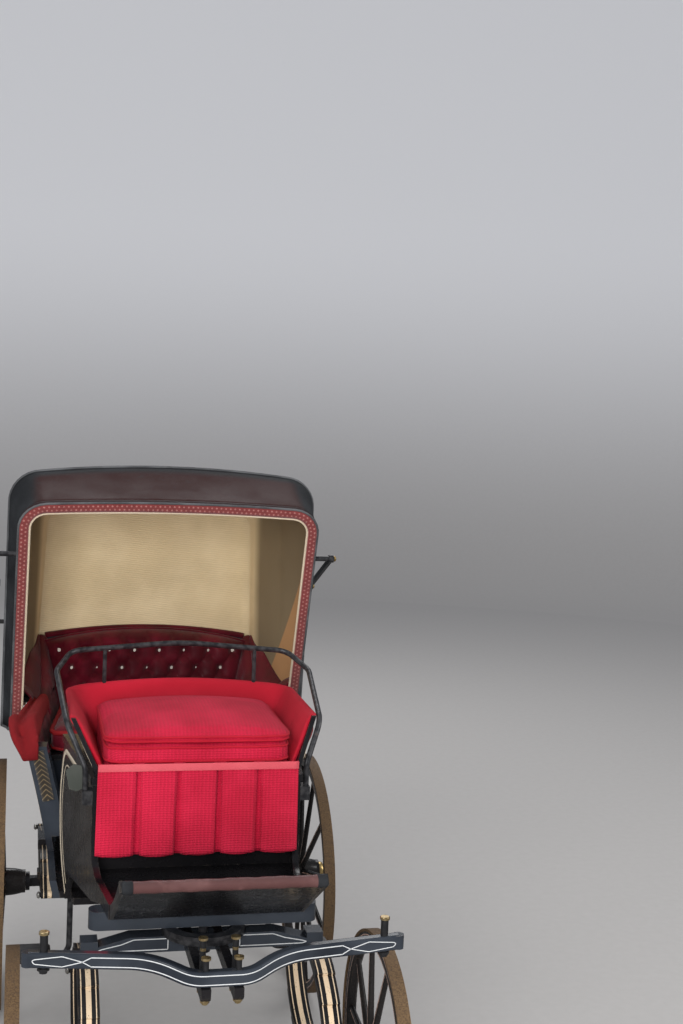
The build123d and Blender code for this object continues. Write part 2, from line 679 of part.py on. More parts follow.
def quarter_profile():
    """The side panel's outline: a low sill at the entry, the elbow, the arm rail and the round back."""
    return make_face(
        Line((SILL_FRONT, BODY_BOTTOM), BACK_FOOT)
        + ThreePointArc(BACK_FOOT, BACK_MIDDLE, BACK_TOP)
        + ThreePointArc(BACK_TOP, (1146, 710), ARM_END)
        + Line(ARM_END, ELBOW)
        + Line(ELBOW, (ELBOW[0] - 7, ELBOW[1] - 44))
        + ThreePointArc((ELBOW[0] - 7, ELBOW[1] - 44), (682, 482), (SILL_BACK, SILL_TOP))
        + Line((SILL_BACK, SILL_TOP), (SILL_FRONT, SILL_TOP))
        + Line((SILL_FRONT, SILL_TOP), (SILL_FRONT, BODY_BOTTOM))
    )


def quarter_panel():
    side = across(quarter_profile(), 150, 420)
    panel = side & tub_wall(0, TUB_WALL) & under_crown(BACK_TOP[1], BACK_CROWN)
    pillar = side & tub_wall(-PILLAR_WIDTH, 0)
    pillar &= block((0, BODY_REACH), (SILL_FRONT, ELBOW[0] + PILLAR_DEPTH), (FLOOR_TOP + 40, TUB_CEILING))
    return panel + pillar


def back_region(forward):
    """The side view of all that lies in front of the back's outer face, moved forward."""
    profile = make_face(
        ThreePointArc(BACK_FOOT, BACK_MIDDLE, BACK_TOP)
        + Polyline(BACK_TOP, (BACK_TOP[0], TUB_CEILING), (TUB_FRONT, TUB_CEILING), (TUB_FRONT, BODY_BOTTOM),
                   BACK_FOOT)
    )
    return Pos(0, -forward, 0) * across(profile, -BODY_REACH, BODY_REACH)


def under_crown(top, crown):
    """All that lies under an arch across the tub, which drops by its crown at the back's corners."""
    half = tub_half(BACK_TOP[1]) - (BACK_TOP[0] - ELBOW[0]) * TUB_TAPER
    radius = (half ** 2 + crown ** 2) / (2 * crown)
    return along(Pos(0, top - radius) * Circle(radius), TUB_FRONT, TUB_REACH)


def back_panel():
    band = back_region(0) - back_region(TUB_WALL)
    return band & tub_space() & under_crown(BACK_TOP[1], BACK_CROWN)


def body_envelope():
    """The whole passenger body as one form, for the hood's leather to lie on."""
    return tub_space(TUB_WALL) & back_region(0) & under_crown(BACK_TOP[1], BACK_CROWN)


def rear_board(y_low, y_high, z_low, z_high, inset=0.0):
    """A board or pad that fills the tub from side to side."""
    return block((-BODY_REACH, BODY_REACH), (y_low, y_high), (z_low, z_high)) & tub_space(-inset)


def passenger_floor():
    body = rear_board(SILL_FRONT, BACK_FOOT[0] - 20, BODY_BOTTOM, FLOOR_TOP)
    tongue = boot_board(FLOOR_FRONT, SILL_FRONT, BODY_BOTTOM, FLOOR_TOP, BOOT_WALL)
    return (body + tongue) & back_region(TUB_WALL)


def seat_riser():
    body = rear_board(RISER_Y, RISER_Y + 12, FLOOR_TOP, REAR_SEAT_BOTTOM)
    return body


def rear_seat_board():
    body = rear_board(REAR_CUSHION_FRONT, TUB_REACH, REAR_SEAT_BOTTOM, REAR_SEAT_TOP)
    return body & back_region(TUB_WALL)


def rear_cushion():
    low = REAR_SEAT_TOP + SOFT_GAP
    inset = ARM_PAD_INNER + SOFT_GAP
    body = rear_board(REAR_CUSHION_FRONT, TUB_REACH, low, low + REAR_CUSHION_HEIGHT, inset)
    return body & back_region(TUB_WALL + SQUAB_DEPTH + 2 * SOFT_GAP)


def rear_squab():
    """The buttoned back cushion, arched along its top like the panel behind it."""
    band = back_region(TUB_WALL + SOFT_GAP) - back_region(TUB_WALL + SQUAB_DEPTH)
    low = REAR_SEAT_TOP + SOFT_GAP
    band &= block((-BODY_REACH, BODY_REACH), (RISER_Y, TUB_REACH), (low, TUB_CEILING))
    return band & tub_space(-SOFT_GAP) & under_crown(SQUAB_TOP, SQUAB_CROWN)


def arm_pad():
    """The padded arm on the right arm rail, with its front end rolled down over the elbow."""
    front = ELBOW[0] - 0.5
    droop = (front - 7 * ARM_PAD_DROOP / 44, ELBOW[1] - ARM_PAD_DROOP)
    seat_front = (front, ELBOW[1] + SOFT_GAP)
    seat_back = (ARM_END[0], ARM_END[1] + SOFT_GAP)
    top_front = (front + 60, ELBOW[1] + ARM_PAD_HEIGHT)
    top_back = (ARM_END[0], ARM_END[1] + ARM_PAD_HEIGHT - 24)
    nose = (front - ARM_PAD_NOSE, ELBOW[1] + 14)
    profile = make_face(
        Polyline(droop, seat_front, seat_back, top_back, top_front)
        + ThreePointArc(top_front, (front - 4, ELBOW[1] + 48), nose)
        + ThreePointArc(nose, (front - ARM_PAD_NOSE - 3, ELBOW[1] - 8), (droop[0] - 10, droop[1]))
        + Line((droop[0] - 10, droop[1]), droop)
    )
    body = across(profile, 150, 450) & tub_wall(-ARM_PAD_INNER, ARM_PAD_OUTER)
    top_face = body.faces().sort_by(Axis.Z)[-1]
    sides = [edge for edge in top_face.edges() if edge.length > 150]
    return fillet(sides, 14)


# Hood

def bow_plane(y, z):
    """The plane of a bow, through the hood's hub line and the bow's top, with v up along it."""
    rise = Vector(0, y - HOOD_HUB[0], z - HOOD_HUB[1]).normalized()
    return Plane(origin=(0, *HOOD_HUB), x_dir=(1, 0, 0), z_dir=(0, -rise.Z, rise.Y))


def bow_face(low, high, half_foot, half_shoulder, corner, crown):
    """A bow's closed outline, with two round shoulders and an arched top."""
    face = make_face(
        Line((-half_foot, low), (half_foot, low))
        + Line((half_foot, low), (half_shoulder, high - crown))
        + ThreePointArc((half_shoulder, high - crown), (0, high), (-half_shoulder, high - crown))
        + Line((-half_shoulder, high - crown), (-half_foot, low))
    )
    shoulders = face.vertices().group_by(Axis.Y)[-1]
    return fillet(shoulders, corner)


def hood_solid(inset):
    """The hood as a closed form, taken in by an inset and then open past its front and below."""
    sections = []
    for y, z, foot, shoulder, corner, crown in HOOD_BOWS:
        rise = math.hypot(y - HOOD_HUB[0], z - HOOD_HUB[1])
        low = 90 if inset == 0 else 40
        face = bow_face(low, rise - inset, foot - inset, shoulder - inset, corner - inset / 2, crown)
        sections.append(bow_plane(y, z) * face)
    up = Vector(0, HOOD_BACK_TOP[0] - HOOD_BACK_FOOT[0], HOOD_BACK_TOP[1] - HOOD_BACK_FOOT[1])
    height = up.length
    up = up.normalized()
    forward = Vector(0, -up.Z, up.Y)
    origin = Vector(0, *HOOD_BACK_FOOT) + forward * inset
    back = Plane(origin=origin, x_dir=(1, 0, 0), z_dir=(0, -up.Z, up.Y))
    foot, shoulder, corner, crown = HOOD_BACK_OUTLINE
    low = -190 if inset == 0 else -240
    face = bow_face(low, height - inset, foot - inset, shoulder - inset, corner - inset / 2, crown)
    sections.append(back * face)
    body = loft(sections, ruled=True)
    if inset:
        body += extrude(sections[0], amount=40)
    return body


def hood_skirt():
    """All that lies below the hood's lower edge, which rises to the back."""
    front, middle, rear = HOOD_SKIRT
    return across(outline(
        (300, front[1] - 8), front, middle, rear, (1500, rear[1]), (1500, 200), (300, 200)
    ), -500, 500)


def hood_joint(hood):
    """The right prop iron outside the hood: two flat links, a knuckle and a stub at each end."""
    height, thickness = JOINT_BAR
    x = (JOINT_X - thickness / 2, JOINT_X + thickness / 2)
    body = None
    for start, end in ((JOINT_FRONT, JOINT_KNUCKLE), (JOINT_KNUCKLE, JOINT_REAR)):
        run = Vector(end[0] - start[0], end[1] - start[1])
        middle = ((start[0] + end[0]) / 2, (start[1] + end[1]) / 2)
        turn = math.degrees(math.atan2(run.Y, run.X))
        bar = across(Pos(*middle) * Rot(0, 0, turn) * SlotOverall(run.length + height, height), *x)
        body = bar if body is None else body + bar
    for place in (JOINT_FRONT, JOINT_REAR):
        body += rod_x(JOINT_BOSS_RADIUS - 3, *place, 240, JOINT_X + 8)
        body += rod_x(JOINT_BOSS_RADIUS, *place, x[0] - 2, x[1] + 2)
    body += rod_x(JOINT_BOSS_RADIUS, *JOINT_KNUCKLE, x[0] - 3, x[1] + 3)
    return body - hood


def hood_pivot(hood_inside):
    """The round block between the quarter panel and the hood's right side."""
    rod = rod_x(HOOD_PIVOT_RADIUS, *HOOD_PIVOT, TUB_HALF / 2, 2 * TUB_HALF)
    return (rod & hood_inside) - tub_space(TUB_WALL)


# Rear springs' blocks and the steps

def spring_block():
    half_width = LEAF_WIDTH / 2 + CLIP_WALL
    return block((TUB_HALF - 10, REAR_SPRING_X + half_width),
                 (WHEELBASE - CLIP_LENGTH, WHEELBASE + CLIP_LENGTH),
                 (REAR_SPRING_TOP, BODY_BOTTOM))


def entry_step():
    """A tread below the right entry, on a stem that hangs from the sill."""
    tread = block((STEP_INNER, STEP_OUTER), (STEP_Y - STEP_LENGTH / 2, STEP_Y + STEP_LENGTH / 2),
                  (STEP_HEIGHT - STEP_THICKNESS, STEP_HEIGHT))
    tread = fillet(tread.edges().filter_by(Axis.Z), 16)
    top_x = TUB_HALF - 24
    path = FilletPolyline((top_x, STEP_Y, BODY_BOTTOM), (top_x, STEP_Y, STEP_HEIGHT - STEP_THICKNESS - 6),
                          (STEP_OUTER - 20, STEP_Y, STEP_HEIGHT - STEP_THICKNESS - 6), radius=28)
    start = Plane(origin=path @ 0, z_dir=path % 0)
    stem = sweep(start * Circle(STEP_STEM_RADIUS), path=path)
    return stem + tread


# Build every node

def build():
    nodes = {}
    front_wood, front_tyre = wheel(FRONT_WHEEL_RADIUS, FRONT_SPOKES)
    rear_wood, rear_tyre = wheel(REAR_WHEEL_RADIUS, REAR_SPOKES)
    # Columns: name, half track, y, radius, wood, tyre
    pairs = (
        ("front", FRONT_HALF_TRACK, 0, FRONT_WHEEL_RADIUS, front_wood, front_tyre),
        ("rear", REAR_HALF_TRACK, WHEELBASE, REAR_WHEEL_RADIUS, rear_wood, rear_tyre),
    )
    for name, half_track, y, radius, wood, tyre in pairs:
        place = Pos(half_track, y, radius)
        nodes[name + "_wheel_right"] = place * wood
        nodes[name + "_wheel_left"] = other_side(place * wood)
        nodes[name + "_tyre_right"] = place * tyre
        nodes[name + "_tyre_left"] = other_side(place * tyre)
        nodes[name + "_axle"] = axle(half_track, y, radius)

    front_spring = spring(FRONT_SPRING_X, 0, FRONT_AXLE_TOP, BED_BOTTOM, FRONT_SPRING_HALF)
    nodes["front_spring_right"] = front_spring
    nodes["front_spring_left"] = other_side(front_spring)
    rear_spring = spring(REAR_SPRING_X, WHEELBASE, REAR_AXLE_TOP, REAR_SPRING_TOP, REAR_SPRING_HALF)
    nodes["rear_spring_right"] = rear_spring
    nodes["rear_spring_left"] = other_side(rear_spring)
    nodes["rear_spring_blocks"] = both(spring_block())

    nodes["lower_bed"] = bed()
    nodes["lower_ring"] = ring(BED_TOP)
    nodes["king_pin"] = king_pin()
    nodes["futchell_right"] = futchell()
    nodes["futchell_left"] = other_side(futchell())
    nodes["splinter_bar"] = splinter_bar()
    nodes["trace_pins"] = both(trace_pin())
    nodes["pole_bolts"] = pole_bolts()

    nodes["upper_ring"] = ring(UPPER_RING_BOTTOM)
    transom = block((-TRANSOM_HALF, TRANSOM_HALF), (-TRANSOM_DEPTH / 2, TRANSOM_DEPTH / 2),
                    (TRANSOM_BOTTOM, BOOT_FLOOR_BOTTOM))
    transom = fillet(transom.edges().filter_by(Axis.Z), TRANSOM_DEPTH / 2 - 2)
    nodes["upper_transom"] = transom - rod_z(KING_PIN_RADIUS + RUN_GAP, 0, 0, TRANSOM_BOTTOM - 1,
                                             BOOT_FLOOR_BOTTOM + 1)

    boot_right = boot_side()
    nodes["boot_side_right"] = boot_right
    nodes["boot_side_left"] = other_side(boot_right)
    nodes["boot_floor"] = boot_board(BOOT_FRONT, BOOT_BACK_Y, BOOT_FLOOR_BOTTOM, BOOT_FLOOR_TOP)
    nodes["boot_front_panel"] = boot_board(BOOT_FRONT_PANEL_Y, BOOT_FRONT_PANEL_Y + BOOT_WALL,
                                           BOOT_FLOOR_TOP, SEAT_BOARD_BOTTOM)
    nodes["boot_back_panel"] = boot_board(BOOT_BACK_Y, BOOT_BACK_Y + BOOT_WALL, FLOOR_TOP, SEAT_BOARD_BOTTOM)
    seat_board = boot_board(SEAT_FRONT, SEAT_BACK, SEAT_BOARD_BOTTOM, SEAT_TOP, -SEAT_OVERHANG)
    nodes["driver_seat_board"] = seat_board
    board, step, up = toe_board()
    roll = toe_roll(board, step, up)
    nodes["toe_board"] = board
    nodes["toe_roll"] = roll
    nodes["toe_brackets"] = both(toe_bracket(roll))

    shell = seat_shell()
    nodes["driver_seat_shell"] = shell
    nodes["driver_seat_lining"] = seat_lining()
    nodes["driver_cushion"] = driver_cushion()
    nodes["seat_fall"] = seat_fall()
    nodes["seat_rail"] = seat_rail(boot_right)

    quarter = quarter_panel()
    nodes["quarter_panel_right"] = quarter
    nodes["quarter_panel_left"] = other_side(quarter)
    nodes["back_panel"] = back_panel()
    nodes["passenger_floor"] = passenger_floor() - boot_right - other_side(boot_right)
    nodes["seat_riser"] = seat_riser()
    nodes["rear_seat_board"] = rear_seat_board()
    nodes["rear_cushion"] = rear_cushion()
    nodes["rear_squab"] = rear_squab()
    pad = arm_pad()
    nodes["arm_pad_right"] = pad
    nodes["arm_pad_left"] = other_side(pad)

    closed = hood_solid(0)
    inside = hood_solid(HOOD_WALL)
    hood = closed - inside - hood_skirt() - body_envelope()
    nodes["hood_shell"] = hood
    joint = hood_joint(closed)
    nodes["hood_joint_right"] = joint
    nodes["hood_joint_left"] = other_side(joint)
    nodes["hood_pivots"] = both(hood_pivot(inside))
    nodes["entry_steps"] = both(entry_step())
    return nodes


def main():
    nodes = build()
    os.makedirs("parts", exist_ok=True)
    boxes = [shape.bounding_box() for shape in nodes.values()]
    y_low = min(box.min.Y for box in boxes)
    y_high = max(box.max.Y for box in boxes)
    shift = -(y_low + y_high) / 2
    for name, shape in nodes.items():
        export_step(Pos(0, shift, 0) * shape, f"parts/{name}.step")
    print("the king pin stands at y =", round(shift, 4))
    print("length", round(y_high - y_low, 2))


main()
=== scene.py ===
# %% [markdown]
# # A pony-size victoria carriage
# The real thing is a small open carriage with a folding leather hood over a low rear seat. Its solids
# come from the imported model, which is in metres with the front towards -Y. This lesson adds what the
# solids can't hold: leather that sags between its bows, buttoned and stuffed seats, pleated cloth, painted
# lines and worn paint. Everything is placed from the solids, so nothing has to be fitted by eye.

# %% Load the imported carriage
import math

import bmesh
import bpy
from mathutils import Matrix, Vector
from mathutils.bvhtree import BVHTree


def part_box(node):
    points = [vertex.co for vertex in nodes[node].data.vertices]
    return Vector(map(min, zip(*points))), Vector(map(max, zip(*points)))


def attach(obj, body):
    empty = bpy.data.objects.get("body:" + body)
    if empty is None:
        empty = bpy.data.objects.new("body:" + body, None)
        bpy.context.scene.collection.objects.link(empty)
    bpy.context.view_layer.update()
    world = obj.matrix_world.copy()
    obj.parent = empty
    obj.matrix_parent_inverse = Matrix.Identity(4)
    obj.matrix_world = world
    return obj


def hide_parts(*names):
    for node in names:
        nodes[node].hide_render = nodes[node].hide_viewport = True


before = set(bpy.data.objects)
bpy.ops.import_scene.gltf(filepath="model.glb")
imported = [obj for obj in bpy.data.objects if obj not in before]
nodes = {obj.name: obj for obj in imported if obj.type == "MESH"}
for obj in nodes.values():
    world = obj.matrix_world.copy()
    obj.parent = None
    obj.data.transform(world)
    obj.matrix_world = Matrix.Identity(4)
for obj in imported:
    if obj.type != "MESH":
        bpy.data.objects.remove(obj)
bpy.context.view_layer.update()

# %% [markdown]
# The carriage was drawn in millimetres from the line of its king pin, the bolt that the front wheels
# steer about. One small function turns such a place into a point of the scene, so the sizes below read
# like the ones on a maker's drawing.

# %% Places in millimetres from the king pin
FORWARD, RIGHTWARD = Vector((0, 1, 0)), Vector((1, 0, 0))
SIDES = (("left", -1), ("right", 1))
pin_low, pin_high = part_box("king_pin")
KING_PIN_Y = (pin_low.y + pin_high.y) / 2


def at(x, y, z):
    return Vector((x / 1000, y / 1000 + KING_PIN_Y, z / 1000))


def between(low, high, share):
    return low + (high - low) * share


def smooth_step(share):
    share = max(0.0, min(1.0, share))
    return share * share * (3 - 2 * share)


# %% [markdown]
# The camera stands where the photographer stood: a little left of the carriage, at eye height, with a
# slight tilt. Its three axes are written out, because a tilt and a turn together are easiest as axes.

# %% Camera
CAMERA_PLACE = (-346.9, -2414.9, 1420)
CAMERA_RIGHT = Vector((0.97336, -0.22530, 0.04261))
CAMERA_UP = Vector((-0.02338, 0.08734, 0.99590))
CAMERA_LENS = 49.22      # on a sensor whose long side is 36 mm

camera_data = bpy.data.cameras.new("camera")
camera_data.lens = CAMERA_LENS
camera = bpy.data.objects.new("camera", camera_data)
bpy.context.scene.collection.objects.link(camera)
back = CAMERA_RIGHT.cross(CAMERA_UP).normalized()
up = back.cross(CAMERA_RIGHT).normalized()
camera.matrix_world = Matrix.LocRotScale(
    at(*CAMERA_PLACE),
    Matrix((CAMERA_RIGHT.normalized(), up, back)).transposed(),
    None,
)
bpy.context.scene.camera = camera
print("camera at", [round(c, 3) for c in camera.matrix_world.translation])

# %% [markdown]
# Four broad lamps and an even sky light the hall softly. Together they give about the light at which a
# colour renders as it is written. The low one only fills the shade under the hood, so gloss never shows it.

# %% Lights
LAMP_AIM = Vector((0, 0, 0.6))
# Columns: name, place in metres, size, watts, shown in gloss
LAMPS = (
    ("lamp_front_left", (-3.2, -3.6, 3.8), 2.6, 105, True),
    ("lamp_front_low", (-0.9, -4.4, 1.5), 1.8, 165, False),
    ("lamp_right", (3.8, -1.2, 3.2), 2.2, 60, True),
    ("lamp_behind", (0.5, 3.6, 3.6), 2.4, 60, True),
)
for name, place, size, watts, in_gloss in LAMPS:
    lamp_data = bpy.data.lights.new(name, "AREA")
    lamp_data.size = size
    lamp_data.energy = watts
    lamp = bpy.data.objects.new(name, lamp_data)
    lamp.visible_glossy = in_gloss
    bpy.context.scene.collection.objects.link(lamp)
    lamp.location = place
    lamp.rotation_euler = (LAMP_AIM - Vector(place)).to_track_quat("-Z", "Y").to_euler()
bpy.context.scene.view_settings.view_transform = "Standard"

# %% [markdown]
# A finish is a material with a few habits: it adds any node in one line, and its values can be added,
# multiplied and compared like numbers. That keeps the rule of a finish readable, such as where a painted
# line runs or how the grain of a leather is mixed.

# %% A small language for finishes
class Value:
    """A socket of a finish that takes part in sums."""

    def __init__(self, finish, socket):
        self.finish = finish
        self.socket = socket

    def math(self, operation, *others):
        return self.finish.node("ShaderNodeMath", {"operation": operation}, enumerate((self, *others)))

    def __add__(self, other):
        return self.math("ADD", other)

    __radd__ = __add__

    def __mul__(self, other):
        return self.math("MULTIPLY", other)

    __rmul__ = __mul__

    def __sub__(self, other):
        return self.math("SUBTRACT", other)

    def __rsub__(self, other):
        return self.finish.node("ShaderNodeMath", {"operation": "SUBTRACT"}, enumerate((other, self)))

    def __pow__(self, other):
        return self.math("POWER", other)

    def __lt__(self, other):
        return self.math("LESS_THAN", other)

    def __gt__(self, other):
        return self.math("GREATER_THAN", other)

    def __abs__(self):
        return self.math("ABSOLUTE")


class Finish:
    """A material in the making, with its shader and one way to add any node."""

    def __init__(self, name, **constants):
        self.material = bpy.data.materials.new(name)
        self.material.use_nodes = True
        self.tree = self.material.node_tree
        self.shader = self.tree.nodes["Principled BSDF"]
        self.place = self.node("ShaderNodeTexCoord", output="Object")
        sockets = {socket.name.lower().replace(" ", "_"): socket for socket in self.shader.inputs}
        for name, value in constants.items():
            self.feed(sockets[name], value)

    def feed(self, socket, value):
        if isinstance(value, Value):
            self.tree.links.new(value.socket, socket)
        elif isinstance(value, tuple) and len(value) == 3 and socket.type == "RGBA":
            socket.default_value = (*value, 1)
        else:
            socket.default_value = value

    def node(self, kind, settings=None, values=(), output=0):
        made = self.tree.nodes.new(kind)
        for name, value in (settings or {}).items():
            setattr(made, name, value)
        for name, value in (values.items() if isinstance(values, dict) else values):
            self.feed(made.inputs[name], value)
        return Value(self, made.outputs[output])

    def axes(self):
        split = self.node("ShaderNodeSeparateXYZ", values={"Vector": self.place})
        return [Value(self, socket) for socket in split.socket.node.outputs]

    def stored(self, name):
        """A number that the mesh keeps for each of its points."""
        return self.node("ShaderNodeAttribute", {"attribute_name": name}, output="Fac")

    def noise(self, scale, detail):
        values = {"Vector": self.place, "Scale": scale, "Detail": detail}
        return self.node("ShaderNodeTexNoise", values=values)

    def between(self, value, low, high):
        """0 below the low value, 1 above the high one, and smooth in between."""
        limits = {"Value": value, "From Min": low, "From Max": high}
        return self.node("ShaderNodeMapRange", {"interpolation_type": "SMOOTHSTEP"}, limits)

    def mix(self, share, first, second):
        return self.node("ShaderNodeMix", {"data_type": "RGBA"}, {0: share, 6: first, 7: second}, output=2)

    def edge(self, radius):
        """1 on a sharp edge and 0 on a flat face, from how far a rounded normal leaves the true one."""
        soft = self.node("ShaderNodeBevel", {"samples": 4}, {"Radius": radius})
        true = self.node("ShaderNodeNewGeometry", output="True Normal")
        turned = self.node("ShaderNodeVectorMath", {"operation": "DOT_PRODUCT"}, {0: soft, 1: true}, "Value")
        return self.between(1 - turned, 0.02, 0.22)

    def set(self, name, value):
        self.feed(self.shader.inputs[name], value)

    def bump(self, height, distance, strength):
        raised = {"Height": height, "Distance": distance, "Strength": strength}
        self.set("Normal", self.node("ShaderNodeBump", values=raised))


print("the language for finishes is ready")

# %% [markdown]
# The floor is a disc, and a round wall bends up from its rim, so there is no horizon. Only the camera sees
# the wall. Gloss sees a darker floor and sky than the camera does, which keeps black paint black.

# %% Sky and floor
sky = bpy.data.worlds.new("sky")
sky.use_nodes = True
bpy.context.scene.world = sky
sky_tree = sky.node_tree
background = sky_tree.nodes["Background"]
rays = sky_tree.nodes.new("ShaderNodeLightPath")
# Columns: kind of ray, colour of the sky to it
SKY_COLOURS = (("Is Glossy Ray", (0.20, 0.21, 0.23)), ("Is Camera Ray", (0.62, 0.63, 0.66)))
shown = None
for kind, colour in SKY_COLOURS:
    seen = sky_tree.nodes.new("ShaderNodeMix")
    seen.data_type = "RGBA"
    seen.inputs[6].default_value = (0.46, 0.47, 0.50, 1)
    seen.inputs[7].default_value = (*colour, 1)
    if shown:
        sky_tree.links.new(shown, seen.inputs[6])
    shown = seen.outputs[2]
    sky_tree.links.new(rays.outputs[kind], seen.inputs[0])
sky_tree.links.new(shown, background.inputs["Color"])

concrete = Finish("pale_floor", roughness=0.8)
stains = concrete.noise(40, 6)
glossy = concrete.node("ShaderNodeLightPath", output="Is Glossy Ray")
up_wall = concrete.between(concrete.axes()[2], 0.0, 3.0)
stone = concrete.mix(stains, (0.42, 0.405, 0.39), (0.46, 0.445, 0.43))
pale = concrete.mix(up_wall, stone, (0.94, 0.94, 0.95))
concrete.set("Base Color", concrete.mix(glossy, pale, (0.15, 0.145, 0.14)))

FLOOR_RADIUS, WALL_BEND, WALL_TOP, WALL_SIDES, BEND_STEPS = 7.0, 2.6, 11.0, 96, 16
floor_profile = [(0.02, 0.0), (FLOOR_RADIUS, 0.0)]
bend = [math.pi / 2 * k / BEND_STEPS for k in range(BEND_STEPS + 1)]
wall_profile = [(FLOOR_RADIUS + WALL_BEND * math.sin(turn), WALL_BEND * (1 - math.cos(turn)))
                for turn in bend]
wall_profile.append((FLOOR_RADIUS + WALL_BEND, WALL_TOP))
for name, profile in (("floor", floor_profile), ("wall", wall_profile)):
    points = []
    for radius, z in profile:
        for k in range(WALL_SIDES):
            turn = 2 * math.pi * k / WALL_SIDES
            points.append((radius * math.cos(turn), radius * math.sin(turn), z))
    faces = []
    for ring in range(len(profile) - 1):
        for k in range(WALL_SIDES):
            side = (k + 1) % WALL_SIDES
            corners = ((ring, k), (ring, side), (ring + 1, side), (ring + 1, k))
            faces.append(tuple(WALL_SIDES * r + c for r, c in corners))
    if name == "floor":
        faces.append(tuple(reversed(range(WALL_SIDES))))
    mesh = bpy.data.meshes.new(name)
    mesh.from_pydata(points, [], faces)
    mesh.polygons.foreach_set("use_smooth", [True] * len(mesh.polygons))
    mesh.materials.append(concrete.material)
    made = bpy.data.objects.new(name, mesh)
    bpy.context.scene.collection.objects.link(made)
    if name == "wall":
        made.visible_diffuse = made.visible_glossy = made.visible_shadow = False
print("floor", 2 * FLOOR_RADIUS, "m wide, with a round wall")

# %% [markdown]
# Old coach paint is a deep gloss with small flaws: a faint waviness from the brush, a film of dust that
# dulls it in patches, and bare or greyed edges where hands and straps rub. One function gives all the
# painted finishes, and a mask for painted lines can be laid over it.

# %% Coach paint
def coach_paint(name, dark, light, worn, roughness, lines=None, line_colour=None):
    paint = Finish(name, coat_roughness=0.08, specular_ior_level=0.26)
    clouds = paint.noise(7, 4)
    dust = paint.between(paint.noise(38, 8), 0.42, 0.72)
    colour = paint.mix(paint.between(clouds, 0.35, 0.65), dark, light)
    if lines is not None:
        flaws = paint.between(paint.noise(420, 2), 0.30, 0.36)
        colour = paint.mix(lines(paint) * flaws, colour, line_colour)
    rubbed = paint.edge(0.0016) * paint.between(paint.noise(55, 5), 0.46, 0.60)
    paint.set("Base Color", paint.mix(rubbed * 0.75, colour, worn))
    paint.set("Roughness", dust * 0.05 + roughness)
    paint.set("Coat Weight", 0.15 - dust * 0.05)
    paint.bump(paint.noise(22, 2), 0.0003, 0.08)
    return paint.material


# Columns: name, dark, light, colour of worn edges, roughness
PAINTS = (
    ("black_paint", (0.006, 0.006, 0.007), (0.012, 0.011, 0.012), (0.10, 0.085, 0.07), 0.26),
    ("blue_black_paint", (0.014, 0.017, 0.023), (0.034, 0.040, 0.050), (0.15, 0.14, 0.13), 0.18),
    ("grey_black_paint", (0.022, 0.020, 0.020), (0.05, 0.046, 0.044), (0.18, 0.15, 0.12), 0.34),
    ("plate_paint", (0.055, 0.060, 0.052), (0.085, 0.088, 0.078), (0.20, 0.18, 0.15), 0.42),
)
black_paint, blue_black, grey_paint, plate_paint = [coach_paint(*row) for row in PAINTS]
print("paints:", [row[0] for row in PAINTS])

# %% [markdown]
# A coach painter draws fine lines along each spoke and round the felloes. Here a line is a rule about
# places: a ring is where the distance from the hub is right, and a spoke's line is where the angle is
# right. The springs' broad cream stripe with a thin line on each side is a rule about x alone.

# %% Lined paint for the wheels and springs
PINK_LINE, CREAM_LINE = (0.55, 0.36, 0.29), (0.64, 0.49, 0.33)
FELLOE_LINES, LINE_HALF = (0.0060, 0.0185), 0.0009


def wheel_lines(hub_y, hub_z, rim, spokes):
    """The painted lines of a wheel about the X axis, with its hub at a place and a rim radius in metres."""
    def lines(paint):
        _, y, z = paint.axes()
        across = y - hub_y
        above = z - hub_z
        reach = (across * across + above * above) ** 0.5
        outer, inner = [abs(reach - (rim - inset)) < LINE_HALF for inset in FELLOE_LINES]
        turn = across.math("ARCTAN2", above) * (spokes / (2 * math.pi))
        from_spoke = abs(turn.math("FLOORED_MODULO", 1.0) - 0.5) * reach * (2 * math.pi / spokes)
        along_spoke = (from_spoke < 0.0011) * (reach > 0.046) * (reach < rim - 0.034)
        return (outer + inner + along_spoke).math("MINIMUM", 1.0)
    return lines


def spring_lines(middle_x, clip_y, clip_half):
    """A broad stripe along the leaves and a thin line on each side, left out over the clip."""
    def lines(paint):
        x, y, _ = paint.axes()
        aside = abs(abs(x) - middle_x)
        stripe = (aside < 0.0045) + (abs(aside - 0.0125) < LINE_HALF)
        return stripe * (abs(y - clip_y) > clip_half)
    return lines


WHEEL_FINISHES, SPRING_FINISHES = {}, {}
for pair, spokes in (("front", 10), ("rear", 12)):
    low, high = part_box(pair + "_wheel_right")
    hub_y, hub_z = (low.y + high.y) / 2, (low.z + high.z) / 2
    rule = wheel_lines(hub_y, hub_z, high.z - hub_z, spokes)
    WHEEL_FINISHES[pair] = coach_paint(pair + "_wheel_paint", (0.010, 0.009, 0.009), (0.022, 0.019, 0.018),
                                       (0.16, 0.11, 0.07), 0.26, rule, PINK_LINE)
    low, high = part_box(pair + "_spring_right")
    rule = spring_lines((low.x + high.x) / 2, (low.y + high.y) / 2, 0.019)
    SPRING_FINISHES[pair] = coach_paint(pair + "_spring_paint", (0.008, 0.008, 0.009), (0.018, 0.017, 0.017),
                                        (0.20, 0.13, 0.07), 0.28, rule, CREAM_LINE)
print("lined finishes:", len(WHEEL_FINISHES) + len(SPRING_FINISHES))

# %% [markdown]
# Iron shows three ways here: the rail and the prop irons are black and handled smooth, the tyres have
# rusted to brown and gold, and the bolts are bright steel or brass where caps cover them.

